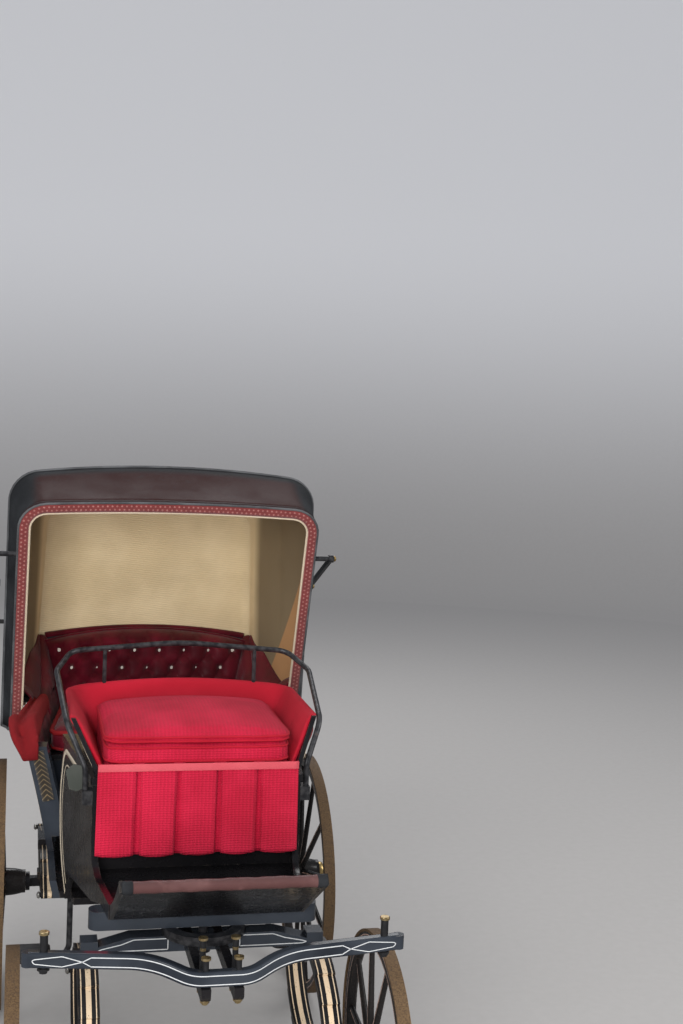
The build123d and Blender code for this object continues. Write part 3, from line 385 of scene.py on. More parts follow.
# %% Iron, steel and brass
def metal(name, dark, light, rust, rust_share, rough, metallic, grain):
    iron = Finish(name)
    cloud = iron.noise(grain, 5)
    spots = iron.between(iron.noise(grain * 0.4, 8), 1 - rust_share - 0.08, 1 - rust_share + 0.08)
    colour = iron.mix(iron.between(cloud, 0.35, 0.65), dark, light)
    bare = iron.edge(0.0009) * iron.between(iron.noise(70, 4), 0.40, 0.60)
    colour = iron.mix(spots, colour, rust)
    iron.set("Base Color", iron.mix(bare * 0.6, colour, tuple(min(1.0, c * 2.2) for c in light)))
    iron.set("Metallic", metallic - spots * 0.6)
    iron.set("Roughness", cloud * 0.16 + spots * 0.3 + rough)
    iron.bump(cloud + spots * 0.6, 0.0005, 0.5)
    return iron.material


# Columns: name, dark, light, rust, share of rust, roughness, metallic, grain
METALS = (
    ("black_iron", (0.026, 0.026, 0.029), (0.075, 0.074, 0.077), (0.10, 0.05, 0.028), 0.22, 0.30, 0.55, 90),
    ("tyre_iron", (0.11, 0.068, 0.038), (0.20, 0.125, 0.062), (0.075, 0.048, 0.030), 0.36, 0.55, 0.4, 380),
    ("bright_steel", (0.42, 0.40, 0.37), (0.62, 0.60, 0.56), (0.20, 0.13, 0.07), 0.25, 0.22, 0.9, 90),
    ("brass", (0.46, 0.31, 0.12), (0.66, 0.47, 0.20), (0.18, 0.11, 0.05), 0.28, 0.24, 0.9, 90),
)
black_iron, tyre_iron, steel, brass = [metal(*row) for row in METALS]


def capped_iron(name, caps):
    """Black iron with brass or steel where a rule about places says so."""
    pin = Finish(name)
    cloud = pin.noise(120, 5)
    cap = caps(pin)
    dark = pin.mix(cloud, (0.018, 0.018, 0.02), (0.05, 0.05, 0.052))
    bright = pin.mix(pin.between(cloud, 0.35, 0.7), (0.44, 0.32, 0.16), (0.70, 0.56, 0.32))
    pin.set("Base Color", pin.mix(cap, dark, bright))
    pin.set("Metallic", cap * 0.3 + 0.6)
    pin.set("Roughness", 0.34 - cap * 0.1 + cloud * 0.1)
    pin.bump(cloud, 0.0003, 0.4)
    return pin.material


LONG_CAP_FOOT, SHORT_CAP_FOOT, SHORT_CAP_TOP, NUT_TOP = 0.5275, 0.5095, 0.5145, 0.4435


def bolt_ends(pin):
    """The caps of the two pairs of pole bolts, and the nuts below them."""
    z = pin.axes()[2]
    short_caps = (z > SHORT_CAP_FOOT) * (z < SHORT_CAP_TOP)
    return ((z > LONG_CAP_FOOT) + short_caps + (z < NUT_TOP)).math("MINIMUM", 1.0)


CAP_DEPTH = 0.0055
cap_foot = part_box("trace_pins")[1].z - CAP_DEPTH
trace_iron = capped_iron("trace_pin_iron", lambda pin: pin.axes()[2] > cap_foot)
bolt_iron = capped_iron("pole_bolt_iron", bolt_ends)
print("metals:", [row[0] for row in METALS])

# %% [markdown]
# Leather is dyed skin: a fine pebbled grain, soft creases, and a waxy sheen that is rubbed dull in places.
# Old hood leather is nearly black, and the front span of its roof is coloured a dark brown-maroon. The colour
# of that front part is carried by a value stored on the mesh, so the same leather covers the whole hood.

# %% Leathers
def leather(name, dark, light, rough, grain=900, crease=55, tint=None, sheen=0.0, shine=0.3):
    hide = Finish(name, coat_roughness=0.25, sheen_weight=sheen, sheen_roughness=0.4,
                  specular_ior_level=shine)
    pebbles = hide.node("ShaderNodeTexVoronoi", {"feature": "DISTANCE_TO_EDGE"},
                        {"Vector": hide.place, "Scale": grain})
    creases = hide.noise(crease, 6)
    wear = hide.between(hide.noise(12, 5), 0.40, 0.66)
    colour = hide.mix(wear, dark, light)
    if tint is not None:
        colour = hide.mix(hide.stored("tint"), colour, tint)
    cracked = hide.between(creases, 0.55, 0.75) * 0.25
    hide.set("Base Color", hide.mix(cracked, colour, tuple(c * 1.6 for c in light)))
    hide.set("Roughness", creases * 0.16 + wear * 0.08 + rough)
    hide.set("Coat Weight", (0.4 - wear * 0.2) * shine)
    hide.bump(hide.between(pebbles, 0.0, 0.25) * 0.35 + creases, 0.0010, 0.55)
    return hide.material


hood_leather = leather("hood_leather", (0.017, 0.018, 0.020), (0.029, 0.031, 0.034), 0.54, grain=700,
                       tint=(0.034, 0.0105, 0.0095), shine=0.12)
# The welts' pale grey is painted sheen on the bows' ridges and along the hood's side edges.
welt_leather = leather("welt_leather", (0.060, 0.061, 0.064), (0.110, 0.112, 0.116), 0.40, grain=700)
roll_leather = leather("roll_leather", (0.085, 0.036, 0.034), (0.145, 0.070, 0.066), 0.34, grain=900)
maroon_leather = leather("maroon_leather", (0.070, 0.0025, 0.008), (0.145, 0.007, 0.018), 0.46, grain=800,
                         sheen=0.12)
print("leathers:", hood_leather.name, roll_leather.name, maroon_leather.name)

# %% [markdown]
# Woven cloth is two sets of threads. On curved cushions there is no flat cloth to draw them on, so the
# threads are waves along two slanted directions that cross on every side of the seat. The crimson cloth has
# a raised diamond figure as well, which shows as a quilted look in the light. The colour follows the same
# relief: raised threads and figure are painted lighter and the low places darker, as painted shade.

# %% Cloths
def cloth(name, dark, light, thread, figure=0.0, rough=0.85, sheen=0.35, ribs=False, colour_of=None):
    fabric = Finish(name, sheen_weight=sheen, sheen_roughness=0.45, sheen_tint=(*light, 1))
    x, y, z = fabric.axes()
    step = 2 * math.pi / thread
    warp = (x + y * 0.55 + z * 0.15) * step
    weft = (z + y * 0.92 - x * 0.1) * step
    wavy = fabric.noise(60, 2) * 2.0
    threads = (warp + wavy).math("SINE") * (weft + wavy).math("SINE")
    if ribs:
        threads = (weft * 0.5 + wavy).math("SINE")
    height = threads * 0.5 + 0.5
    if figure:
        slow = 2 * math.pi / figure
        bend = fabric.noise(25, 2) * 1.2
        rise = (z + y) * 1.5
        diamond = ((x + rise) * slow + bend).math("SINE") * ((x - rise) * slow + bend).math("SINE")
        height = height * 0.12 + fabric.between(diamond, -0.5, 0.5) * 0.9
    soil = fabric.between(fabric.noise(9, 5), 0.35, 0.70)
    # Painted light and shade: the colour is lighter where the weave and figure stand high and darker in their
    # low places.
    colour = fabric.mix(height * (0.28 if figure else 0.5) + soil * 0.4 + 0.15, dark, light)
    if colour_of is not None:
        colour = colour_of(fabric, colour)
    fabric.set("Base Color", colour)
    fabric.set("Roughness", height * 0.1 + rough)
    fabric.bump(height + fabric.noise(35, 4) * 0.8, thread * 0.35 + figure * 0.07, 0.75)
    return fabric.material


def lining_colour(fabric, colour):
    """The lining is darkened on its sides as painted shade, and faced with tan leather along its front edge.
    """
    side = fabric.stored("side")
    facing = fabric.between(fabric.stored("facing"), -0.01, 0.03) * side
    patches = fabric.between(fabric.noise(7, 4), 0.38, 0.68)
    aged = fabric.mix(patches * 0.2, colour, (0.46, 0.35, 0.20))
    # Painted shade: the sides are darkened towards a dark olive-brown.
    shaded = fabric.mix(side * 0.85, aged, (0.15, 0.110, 0.064))
    return fabric.mix(facing, shaded, (0.50, 0.27, 0.12))


crimson_cloth = cloth("crimson_cloth", (0.30, 0.003, 0.016), (0.62, 0.016, 0.056), 0.0012, figure=0.014,
                      sheen=0.12)
crimson_plain = cloth("crimson_plain_cloth", (0.32, 0.003, 0.012), (0.50, 0.009, 0.028), 0.0014, sheen=0.1)
binding_cloth = cloth("binding_cloth", (0.50, 0.050, 0.075), (0.66, 0.11, 0.13), 0.0012, sheen=0.15)
lining_cloth = cloth("hood_lining_cloth", (0.66, 0.51, 0.29), (0.84, 0.68, 0.43), 0.0022, sheen=0.1,
                     ribs=True, colour_of=lining_colour)
cream_cloth = cloth("cream_cord_cloth", (0.50, 0.40, 0.28), (0.66, 0.56, 0.42), 0.0012)
red_velvet = cloth("red_velvet", (0.12, 0.003, 0.006), (0.27, 0.013, 0.015), 0.0009, sheen=0.3, rough=0.9)
carpet = cloth("floor_carpet", (0.07, 0.012, 0.014), (0.13, 0.03, 0.03), 0.004, sheen=0.2)
print("cloths:", crimson_cloth.name, lining_cloth.name, red_velvet.name)

# %% [markdown]
# Coach lace is a narrow woven braid, here dull red with small pale dots in two rows, and black with gold
# chevrons on the elbow pillars. Each braid mesh stores how far along and across every point lies, in metres,
# and the pattern is drawn from those two values. The patterns are plain traditional ones.

# %% Coach lace
def lace(name, ground, dots, pattern):
    braid = Finish(name, sheen_weight=0.3)
    along, aside = braid.stored("along"), braid.stored("aside")
    figure = pattern(along, aside)
    threads = ((along * 5200).math("SINE") * (aside * 5200).math("SINE")) * 0.5 + 0.5
    wear = braid.between(braid.noise(60, 5), 0.35, 0.65)
    # Painted shade: the ground is darker where the threads lie low.
    plain = braid.mix(threads * 0.6 + wear * 0.4, tuple(c * 0.6 for c in ground), ground)
    braid.set("Base Color", braid.mix(figure * (0.55 + wear * 0.35), plain, dots))
    braid.set("Roughness", threads * 0.1 + 0.8)
    braid.bump(threads * 0.5 + figure, 0.0008, 0.7)
    return braid.material


def dotted(along, aside):
    """Two staggered rows of dots, and a thin pale edge on each side."""
    step = 0.0105
    rows = []
    for row, shift in ((-0.0042, 0.0), (0.0042, 0.5)):
        near = ((along * (1 / step) + shift).math("FLOORED_MODULO", 1.0) - 0.5) * step
        gap = aside - row
        rows.append((near * near + gap * gap) < 0.0022 ** 2)
    return (rows[0] + rows[1] + (abs(aside) > 0.0098)).math("MINIMUM", 1.0)


def chevrons(along, aside):
    """Gold vees in pairs, point down."""
    lean = along + abs(aside) * 0.9
    return (lean * (1 / 0.011)).math("FLOORED_MODULO", 1.0) < 0.2


red_lace = lace("red_lace", (0.23, 0.036, 0.034), (0.42, 0.17, 0.145), dotted)
gold_braid = lace("gold_braid", (0.034, 0.026, 0.018), (0.24, 0.17, 0.085), chevrons)
porcelain = Finish("white_button", coat_weight=0.5)
porcelain.set("Base Color", porcelain.mix(porcelain.noise(300, 3), (0.60, 0.54, 0.46), (0.80, 0.76, 0.68)))
porcelain.set("Roughness", porcelain.noise(200, 2) * 0.2 + 0.2)
print("laces:", red_lace.name, gold_braid.name)

# %% [markdown]
# Every solid that already has the right shape keeps it and only takes a better finish. The table pairs each
# node with its finish, and anything not named here is replaced by a softer piece further down.

# %% Finishes for the solids
NODE_FINISHES = (
    (black_paint, ("boot_side_left", "boot_side_right", "boot_floor", "boot_front_panel", "boot_back_panel",
                   "driver_seat_board", "driver_seat_shell", "toe_board", "futchell_left", "futchell_right",
                   "rear_seat_board", "passenger_floor", "front_axle", "rear_axle", "rear_spring_blocks",
                   "hood_pivots")),
    (blue_black, ("quarter_panel_left", "quarter_panel_right", "back_panel", "seat_riser", "upper_transom",
                  "splinter_bar", "lower_bed")),
    (grey_paint, ("toe_brackets",)),
    (black_iron, ("seat_rail", "hood_joint_left", "hood_joint_right", "upper_ring", "lower_ring", "king_pin",
                  "entry_steps")),
    (tyre_iron, ("front_tyre_left", "front_tyre_right", "rear_tyre_left", "rear_tyre_right")),
    (WHEEL_FINISHES["front"], ("front_wheel_left", "front_wheel_right")),
    (WHEEL_FINISHES["rear"], ("rear_wheel_left", "rear_wheel_right")),
    (SPRING_FINISHES["front"], ("front_spring_left", "front_spring_right")),
    (SPRING_FINISHES["rear"], ("rear_spring_left", "rear_spring_right")),
    (trace_iron, ("trace_pins",)),
    (bolt_iron, ("pole_bolts",)),
)
for finish, names in NODE_FINISHES:
    for name in names:
        for place in nodes[name].material_slots:
            place.material = finish
print("solids given a finish:", sum(len(names) for _, names in NODE_FINISHES))

# %% [markdown]
# Three makers build nearly every added piece. A skin joins rows of points into a surface, a sweep carries a
# cross-section along a path, and a turned piece spins a profile about a line. They are written once here.

# %% Makers of meshes
def clean(mesh, reach):
    """Joins points that coincide and turns all faces outwards."""
    work = bmesh.new()
    work.from_mesh(mesh)
    bmesh.ops.remove_doubles(work, verts=work.verts, dist=reach)
    bmesh.ops.recalc_face_normals(work, faces=work.faces)
    work.to_mesh(mesh)
    work.free()


def piece(name, points, faces, finish, body, slot=None, flat=False):
    """A mesh that rides on a body."""
    mesh = bpy.data.meshes.new(name)
    mesh.from_pydata([tuple(point) for point in points], [], faces)
    clean(mesh, 0.00002)
    mesh.materials.append(finish)
    mesh.polygons.foreach_set("use_smooth", [not flat] * len(mesh.polygons))
    made = bpy.data.objects.new(name, mesh)
    bpy.context.scene.collection.objects.link(made)
    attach(made, body)
    return made


def skin_faces(rows, width, loop_across=False, loop_along=False):
    """Quads over a grid of points that is stored row by row."""
    faces = []
    for row in range(rows if loop_along else rows - 1):
        nxt = (row + 1) % rows
        for column in range(width if loop_across else width - 1):
            side = (column + 1) % width
            faces.append((row * width + column, row * width + side, nxt * width + side, nxt * width + column))
    return faces


def skin(rows):
    """Points and faces of an open surface over rows of points."""
    return [point for row in rows for point in row], skin_faces(len(rows), len(rows[0]))


def tube_faces(rows, width):
    """Quads round a tube of rings, and a face over each end."""
    faces = skin_faces(rows, width, loop_across=True)
    return faces + [tuple(range(width)), tuple(range((rows - 1) * width, rows * width))]


def thicken(made, thickness):
    modifier = made.modifiers.new("thickness", "SOLIDIFY")
    modifier.thickness = thickness
    modifier.offset = -1


def soften(made):
    modifier = made.modifiers.new("subdivision", "SUBSURF")
    modifier.levels = modifier.render_levels = 1


def sweep(path, section, ups, closed=False):
    """Points and faces of a closed section carried along a path, with an upward direction at each place."""
    points = []
    count = len(path)
    for index, place in enumerate(path):
        before = path[index - 1] if closed or index else place
        after = path[(index + 1) % count] if closed or index < count - 1 else place
        run = (after - before).normalized()
        rise = ups[index] if isinstance(ups, list) else ups
        aside = run.cross(rise).normalized()
        rise = aside.cross(run)
        points += [place + aside * a + rise * b for a, b in section]
    if closed:
        return points, skin_faces(count, len(section), loop_across=True, loop_along=True)
    return points, tube_faces(count, len(section))


def round_section(radius, sides):
    turns = [2 * math.pi * k / sides for k in range(sides)]
    return [(radius * math.cos(turn), radius * math.sin(turn)) for turn in turns]


def flat_section(width, thick):
    return [(-width / 2, 0), (width / 2, 0), (width / 2, thick), (-width / 2, thick)]


def turned(place, axis, profile, sides=20):
    """Points and faces of a profile, as (along, radius) pairs, spun about an axis through a place."""
    axis = axis.normalized()
    one = axis.orthogonal().normalized()
    two = axis.cross(one)
    points = []
    for along, radius in profile:
        for k in range(sides):
            turn = 2 * math.pi * k / sides
            points.append(place + axis * along + (one * math.cos(turn) + two * math.sin(turn)) * radius)
    return points, tube_faces(len(profile), sides)


def gathered(parts):
    """Several lots of points and faces as one."""
    points, faces = [], []
    for some_points, some_faces in parts:
        start = len(points)
        points += some_points
        faces += [tuple(index + start for index in face) for face in some_faces]
    return points, faces


def run_lengths(path):
    """How far along a path each of its points lies."""
    lengths = [0.0]
    for before, after in zip(path, path[1:]):
        lengths.append(lengths[-1] + (after - before).length)
    return lengths


def resampled(path, count):
    """The same path with evenly spaced points."""
    lengths = run_lengths(path)
    made, index = [], 0
    for step in range(count):
        want = lengths[-1] * step / (count - 1)
        while index < len(path) - 2 and lengths[index + 1] < want:
            index += 1
        span = lengths[index + 1] - lengths[index]
        made.append(between(path[index], path[index + 1], (want - lengths[index]) / span if span else 0))
    return made


def rounded_path(corners, radii, steps=8):
    """A path through corners that are each rounded off."""
    made = [corners[0]]
    for before, corner, after, radius in zip(corners, corners[1:], corners[2:], radii):
        to_before = (before - corner).normalized()
        to_after = (after - corner).normalized()
        angle = to_before.angle(to_after)
        reach = radius / math.tan(angle / 2)
        start, end = corner + to_before * reach, corner + to_after * reach
        for step in range(steps + 1):
            share = step / steps
            made.append(between(between(start, corner, share), between(corner, end, share), share))
    made.append(corners[-1])
    return made


def store(made, name, values):
    """Keeps one number for each point of a mesh, for its finish to read."""
    layer = made.data.attributes.new(name, "FLOAT", "POINT")
    layer.data.foreach_set("value", values)


print("makers are ready")

# %% [markdown]
# The hood is leather stretched over three bows and a back frame. Each bow's outline is two leaning sides,
# two round shoulders and an arched top, all in one plane through the hood's pivot line. The leather is one
# continuous skin through all the outlines, and it sinks a few millimetres between them, which is what
# makes the bows show.

# %% The hood's bows
HUB = (1000, 450)
# Columns: top y, top z, half width at the foot, half width at the shoulder, corner radius, crown
BOWS = (
    (700, 1178, 344, 336, 58, 12),
    (868, 1246, 364, 356, 62, 26),
    (1120, 1212, 330, 330, 62, 26),
)
BACK_TOP = (1222, 1140)
BACK_FOOT = (1272, 780)
BACK_OUTLINE = (292, 264, 56, 16)
SKIRT = ((500, 560), (880, 606), (1170, 640), (1300, 770), (1400, 870))
SIDE_POINTS, CORNER_POINTS, CROWN_POINTS = 12, 9, 27
SINK_TOWARDS = 760       # the height towards which slack leather sinks
CUT_STEPS = 60


def skirt_height(y):
    for (y_low, z_low), (y_high, z_high) in zip(SKIRT, SKIRT[1:]):
        if y <= y_high:
            return between(z_low, z_high, (y - y_low) / (y_high - y_low))
    return SKIRT[-1][1]


def bow_outline(half_foot, half_shoulder, corner, crown, low, high, inset):
    """Half an outline as (x, v) pairs in three parts: the side, the shoulder and half the crown."""
    half_foot, half_shoulder = half_foot - inset, half_shoulder - inset
    high -= inset
    crown_radius = (half_shoulder ** 2 + crown ** 2) / (2 * crown)

    def crown_at(x):
        return high - crown_radius + math.sqrt(crown_radius ** 2 - x ** 2)

    shoulder = Vector((half_shoulder, high - crown))
    foot = Vector((half_foot, low))
    reach = corner - inset
    start = shoulder + (foot - shoulder).normalized() * reach
    end = Vector((half_shoulder - reach, crown_at(half_shoulder - reach)))
    side = [between(foot, start, k / (SIDE_POINTS - 1)) for k in range(SIDE_POINTS)]
    bend = []
    for k in range(1, CORNER_POINTS):
        turn = math.pi / 2 * k / CORNER_POINTS
        aside, above = math.cos(turn) - 1, math.sin(turn) - 1
        bend.append(shoulder + (end - shoulder) * -aside + (start - shoulder) * -above)
    arch = []
    for k in range(CROWN_POINTS):
        x = end.x * (1 - k / (CROWN_POINTS - 1))
        arch.append(Vector((x, crown_at(x))))
    return side, bend, arch


def hood_frame(number, inset=0.0):
    """The right half of bow 0, 1 or 2, or of the back frame, 3, from its foot to the middle of its top."""
    if number < 3:
        y, z, foot, shoulder, corner, crown = BOWS[number]
        rise = Vector((y - HUB[0], z - HUB[1]))
        origin, low = Vector(HUB), 90
    else:
        foot, shoulder, corner, crown = BACK_OUTLINE
        rise = Vector((BACK_TOP[0] - BACK_FOOT[0], BACK_TOP[1] - BACK_FOOT[1]))
        origin = Vector(BACK_FOOT) + Vector((-rise.y, rise.x)).normalized() * inset
        low = -190
    high = rise.length
    step = rise.normalized()
    parts = bow_outline(foot, shoulder, corner, crown, low, high, inset)
    return [[Vector((x, origin.x + step.x * v, origin.y + step.y * v)) for x, v in part] for part in parts]


def hood_row(number, share, inset=0.0, lift=0.0, slack=0.0):
    """A full row of the hood between two frames, from the left foot over the top to the right foot."""
    first, second = hood_frame(number, inset), hood_frame(number + 1, inset)
    side, bend, arch = [[between(a, b, share) for a, b in zip(one, two)] for one, two in zip(first, second)]
    low, high = side[0], side[-1]
    # The side starts where it meets the hood's lower edge.
    cut = 0.0
    for step in range(CUT_STEPS):
        point = between(low, high, step / CUT_STEPS)
        if point.z >= skirt_height(point.y) + lift:
            break
        cut = step / CUT_STEPS
    side = [between(between(low, high, cut), high, k / (SIDE_POINTS - 1)) for k in range(SIDE_POINTS)]
    half = side + bend + arch
    if slack:
        sink = slack * math.sin(math.pi * share)
        half = [p + (Vector((0, p.y, SINK_TOWARDS)) - p).normalized() * sink for p in half]
    return [at(-p.x, p.y, p.z) for p in half] + [at(p.x, p.y, p.z) for p in reversed(half[:-1])]


print("points in a row of the hood:", len(hood_row(0, 0.0)))

# %% [markdown]
# The skin is made twice: the leather outside and the lining inside, 7 mm apart. The back of the hood is a
# wall between the left and right sides of its back frame. The front part of the roof is stored as tinted,
# the lining's sides as side, which darkens them as painted shade, and its first hand's breadth as facing.

# %% The hood's leather and lining
ROWS_BETWEEN = (10, 14, 10)
HOOD_SLACK = 5.0
LEATHER_THICK = 0.003


def hood_rows(inset, lift, slack):
    rows = []
    for number, count in enumerate(ROWS_BETWEEN):
        rows += [hood_row(number, step / count, inset, lift, slack) for step in range(count)]
    return rows + [hood_row(2, 1.0, inset, lift)]


def wall_rows(edge, bulge, count=24):
    """Rows from the left to the right side of a frame, swelling a little towards the back."""
    half = len(edge) // 2
    rows = []
    for index in range(half):
        left, right = edge[index], edge[-1 - index]
        row = []
        for step in range(count + 1):
            share = step / count
            swell = bulge * math.sin(math.pi * share) * math.sin(math.pi * min(1.0, (index + 1) / half))
            row.append(between(left, right, share) + Vector((0, swell, 0)))
        rows.append(row)
    return rows


def hood_skin(name, inset, lift, slack, bulge, thickness, finish):
    rows = hood_rows(inset, lift, slack)
    parts = [skin(rows), skin(wall_rows(rows[-1], bulge))]
    made = piece(name, *gathered(parts), finish, "body", "hood_leather")
    thicken(made, thickness)
    return made, rows


def roof_share(point, half=0.30):
    """1 on the roof, 0 on the sides."""
    return smooth_step((half - abs(point.x)) / 0.02 + 0.5)


front_row = hood_row(0, 0.0)
second_row = hood_row(1, 0.0)
leather_skin, leather_rows = hood_skin("hood_leather", 0.0, 0, HOOD_SLACK, 0.006, LEATHER_THICK, hood_leather)
second_bow_y = at(0, BOWS[1][0], 0).y
store(leather_skin, "tint", [
    roof_share(v.co) * smooth_step((second_bow_y - 0.012 - v.co.y) / 0.02) for v in leather_skin.data.vertices
])
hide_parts("hood_shell")

lining, _ = hood_skin("hood_lining", 7.0, 5, 2.0, -0.003, 0.0015, lining_cloth)
wall_y = at(0, 1195, 0).y
# The side value marks where the lining is darkened as painted shade.
store(lining, "side", [
    smooth_step((abs(v.co.x) - 0.268) / 0.02) * smooth_step((wall_y + 0.02 - v.co.y) / 0.03)
    for v in lining.data.vertices
])


def facing_share(point):
    """How far inside the tan facing along the front bow a point is, in tenths of a metre."""
    y, z = (point.y - KING_PIN_Y) * 1000, point.z * 1000
    rise = Vector((BOWS[0][0] - HUB[0], BOWS[0][1] - HUB[1]))
    length = rise.length
    rise.normalize()
    place = Vector((y - HUB[0], z - HUB[1]))
    up_bow = place.dot(rise) / length
    reach = place.x * rise.y - place.y * rise.x
    return (between(235, 92, up_bow) - abs(reach)) / 100


store(lining, "facing", [facing_share(v.co) for v in lining.data.vertices])
print("hood:", len(leather_skin.data.polygons), "faces of leather,", len(lining.data.polygons), "of lining")

# %% [markdown]
# The front bow is the hood's face. Leather is rolled round it, coach lace is nailed along it, and a cream
# cord finishes its inner edge. Welts, which are cords sewn into a leather seam, follow the other frames;
# their pale grey is painted sheen along the bows' ridges and the hood's side edges.

# %% The hood's rim, lace and welts
RIM_WIDTH = 0.025
RIM_THICK = 0.016
LACE_WIDTH = 0.0215


def inside_row(row, depth, forward=0.0):
    """A row moved towards the inside of its own plane, and forward out of it."""
    middle = len(row) // 2
    plane_up = (row[middle] - between(row[0], row[-1], 0.5)).normalized()
    ahead = RIGHTWARD.cross(plane_up).normalized()
    if ahead.y > 0:
        ahead = -ahead
    made = []
    for index, place in enumerate(row):
        before = row[max(0, index - 1)]
        after = row[min(len(row) - 1, index + 1)]
        inward = (after - before).normalized().cross(ahead)
        if inward.dot(row[middle] + Vector((0, 0, -0.3)) - place) < 0:
            inward = -inward
        made.append(place + inward * depth + ahead * forward)
    return made, ahead


def rounded_section(width, thick, corner, steps=3):
    points = []
    for cx, cy, start in ((1, 1, 0), (-1, 1, 90), (-1, -1, 180), (1, -1, 270)):
        for step in range(steps + 1):
            turn = math.radians(start + 90 * step / steps)
            points.append((cx * (width / 2 - corner) + corner * math.cos(turn),
                           cy * (thick / 2 - corner) + corner * math.sin(turn)))
    return points


front = resampled(front_row, 150)
rim_path, rim_ups = inside_row(front, RIM_WIDTH / 2 - 0.001)
rim = piece("hood_rim", *sweep(rim_path, rounded_section(RIM_WIDTH, RIM_THICK, 0.006), rim_ups), hood_leather,
            "body", "hood_leather")
store(rim, "tint", [roof_share(v.co, 0.33) * 0.6 for v in rim.data.vertices])

lace_path, lace_ups = inside_row(front, RIM_WIDTH / 2, RIM_THICK / 2 + 0.0002)
LACE_SECTION = ((-0.5, 0), (0.5, 0), (0.5, 0.0012), (0.25, 0.0019), (0, 0.0021), (-0.25, 0.0019),
                (-0.5, 0.0012))
lace_points, lace_faces = sweep(lace_path, [(a * LACE_WIDTH, b) for a, b in LACE_SECTION], lace_ups)
hood_lace = piece("hood_lace", lace_points, lace_faces, red_lace, "body")
reach = run_lengths(lace_path)
store(hood_lace, "along", [reach[index // len(LACE_SECTION)] for index in range(len(lace_points))])
store(hood_lace, "aside", [LACE_SECTION[index % len(LACE_SECTION)][0] * LACE_WIDTH
                           for index in range(len(lace_points))])

# Columns: name, row, depth, forward, radius, finish
WELTS = (
    ("hood_front_welt", front_row, 0.001, RIM_THICK / 2, 0.0028, welt_leather),
    ("hood_cream_cord", front_row, RIM_WIDTH + 0.0005, RIM_THICK / 2 - 0.001, 0.0026, cream_cloth),
    ("hood_second_welt", second_row, 0.0015, 0.0, 0.0042, welt_leather),
    ("hood_third_welt", hood_row(2, 0.0), 0.0015, 0.0, 0.0038, welt_leather),
    ("hood_back_welt", hood_row(2, 1.0), 0.0015, 0.0, 0.0040, welt_leather),
)
for name, row, depth, forward, radius, finish in WELTS:
    path, ups = inside_row(resampled(row, 130), depth, forward)
    piece(name, *sweep(path, round_section(radius, 8), ups), finish, "body", "hood_leather")
for name, sign in reversed(SIDES):
    hem = resampled([row[-1] if sign > 0 else row[0] for row in leather_rows], 60)
    piece("hood_hem_" + name, *sweep(hem, round_section(0.0034, 8), RIGHTWARD * sign), welt_leather,
          "body", "hood_leather")
print("hood trim pieces:", len(WELTS) + 4)

# %% [markdown]
# A stuffed cushion starts as a plain closed form: the outline of its plan, drawn in rings from the middle
# of the bottom, up the boxing and over to the middle of the top. Cloth simulation then blows it up a
# little, so that its faces crown and its sides pull in between the corners, as real stuffing makes them.

# %% Making and filling cushions
FILL_PRESSURE, FILL_FRAMES = 4, 20


def squircle(count, power=12):
    """Points round a square from -1 to 1 with rounded corners."""
    ring = []
    for k in range(count):
        turn = 2 * math.pi * (k + 0.5) / count
        c, s = math.cos(turn), math.sin(turn)
        size = (abs(c) ** power + abs(s) ** power) ** (-1 / power)
        ring.append((c * size, s * size))
    return ring


def in_plan(plan, u, v, height):
    """A place over a plan of four corners, with u and v from -1 to 1."""
    (ax, ay), (bx, by), (cx, cy), (dx, dy) = plan
    s, t = (u + 1) / 2, (v + 1) / 2
    x = between(between(ax, bx, s), between(dx, cx, s), t)
    y = between(between(ay, by, s), between(dy, cy, s), t)
    return at(x, y, height)


def cushion_form(plan, profile, crown, count=72):
    """Rings over a plan of four corners, as (inset share, height, lifted); the crown lifts the last ones."""
    points = []
    for inset, height, lifted in profile:
        for u, v in squircle(count):
            u, v = u * (1 - inset), v * (1 - inset)
            rise = crown * (1 - u * u) ** 0.8 * (1 - v * v) ** 0.8 if lifted else 0
            points.append(in_plan(plan, u, v, height + rise))
    return points, tube_faces(len(profile), count)


def boxed_profile(low, high, round_by=0.03):
    """Rings for a boxed cushion: bottom, boxing and top, with rounded edges."""
    rise = high - low
    return [
        (0.95, low, False), (0.6, low, False), (0.3, low, False), (round_by * 1.6, low, False),
        (round_by * 0.5, low + rise * 0.08, False), (0.0, low + rise * 0.25, False),
        (0.0, low + rise * 0.5, False), (0.0, low + rise * 0.75, False),
        (round_by * 0.5, high - rise * 0.08, True), (round_by * 1.6, high, True),
        (0.15, high, True), (0.3, high, True), (0.5, high, True), (0.75, high, True), (0.95, high, True),
    ]


def settle(made):
    """Applies what modifies a mesh, so that the mesh itself is final."""
    graph = bpy.context.evaluated_depsgraph_get()
    fresh = bpy.data.meshes.new_from_object(made.evaluated_get(graph))
    old = made.data
    finishes = list(old.materials)
    made.modifiers.clear()
    made.data = fresh
    fresh.name = made.name
    fresh.materials.clear()
    for finish in finishes:
        fresh.materials.append(finish)
    fresh.polygons.foreach_set("use_smooth", [True] * len(fresh.polygons))
    bpy.data.meshes.remove(old)


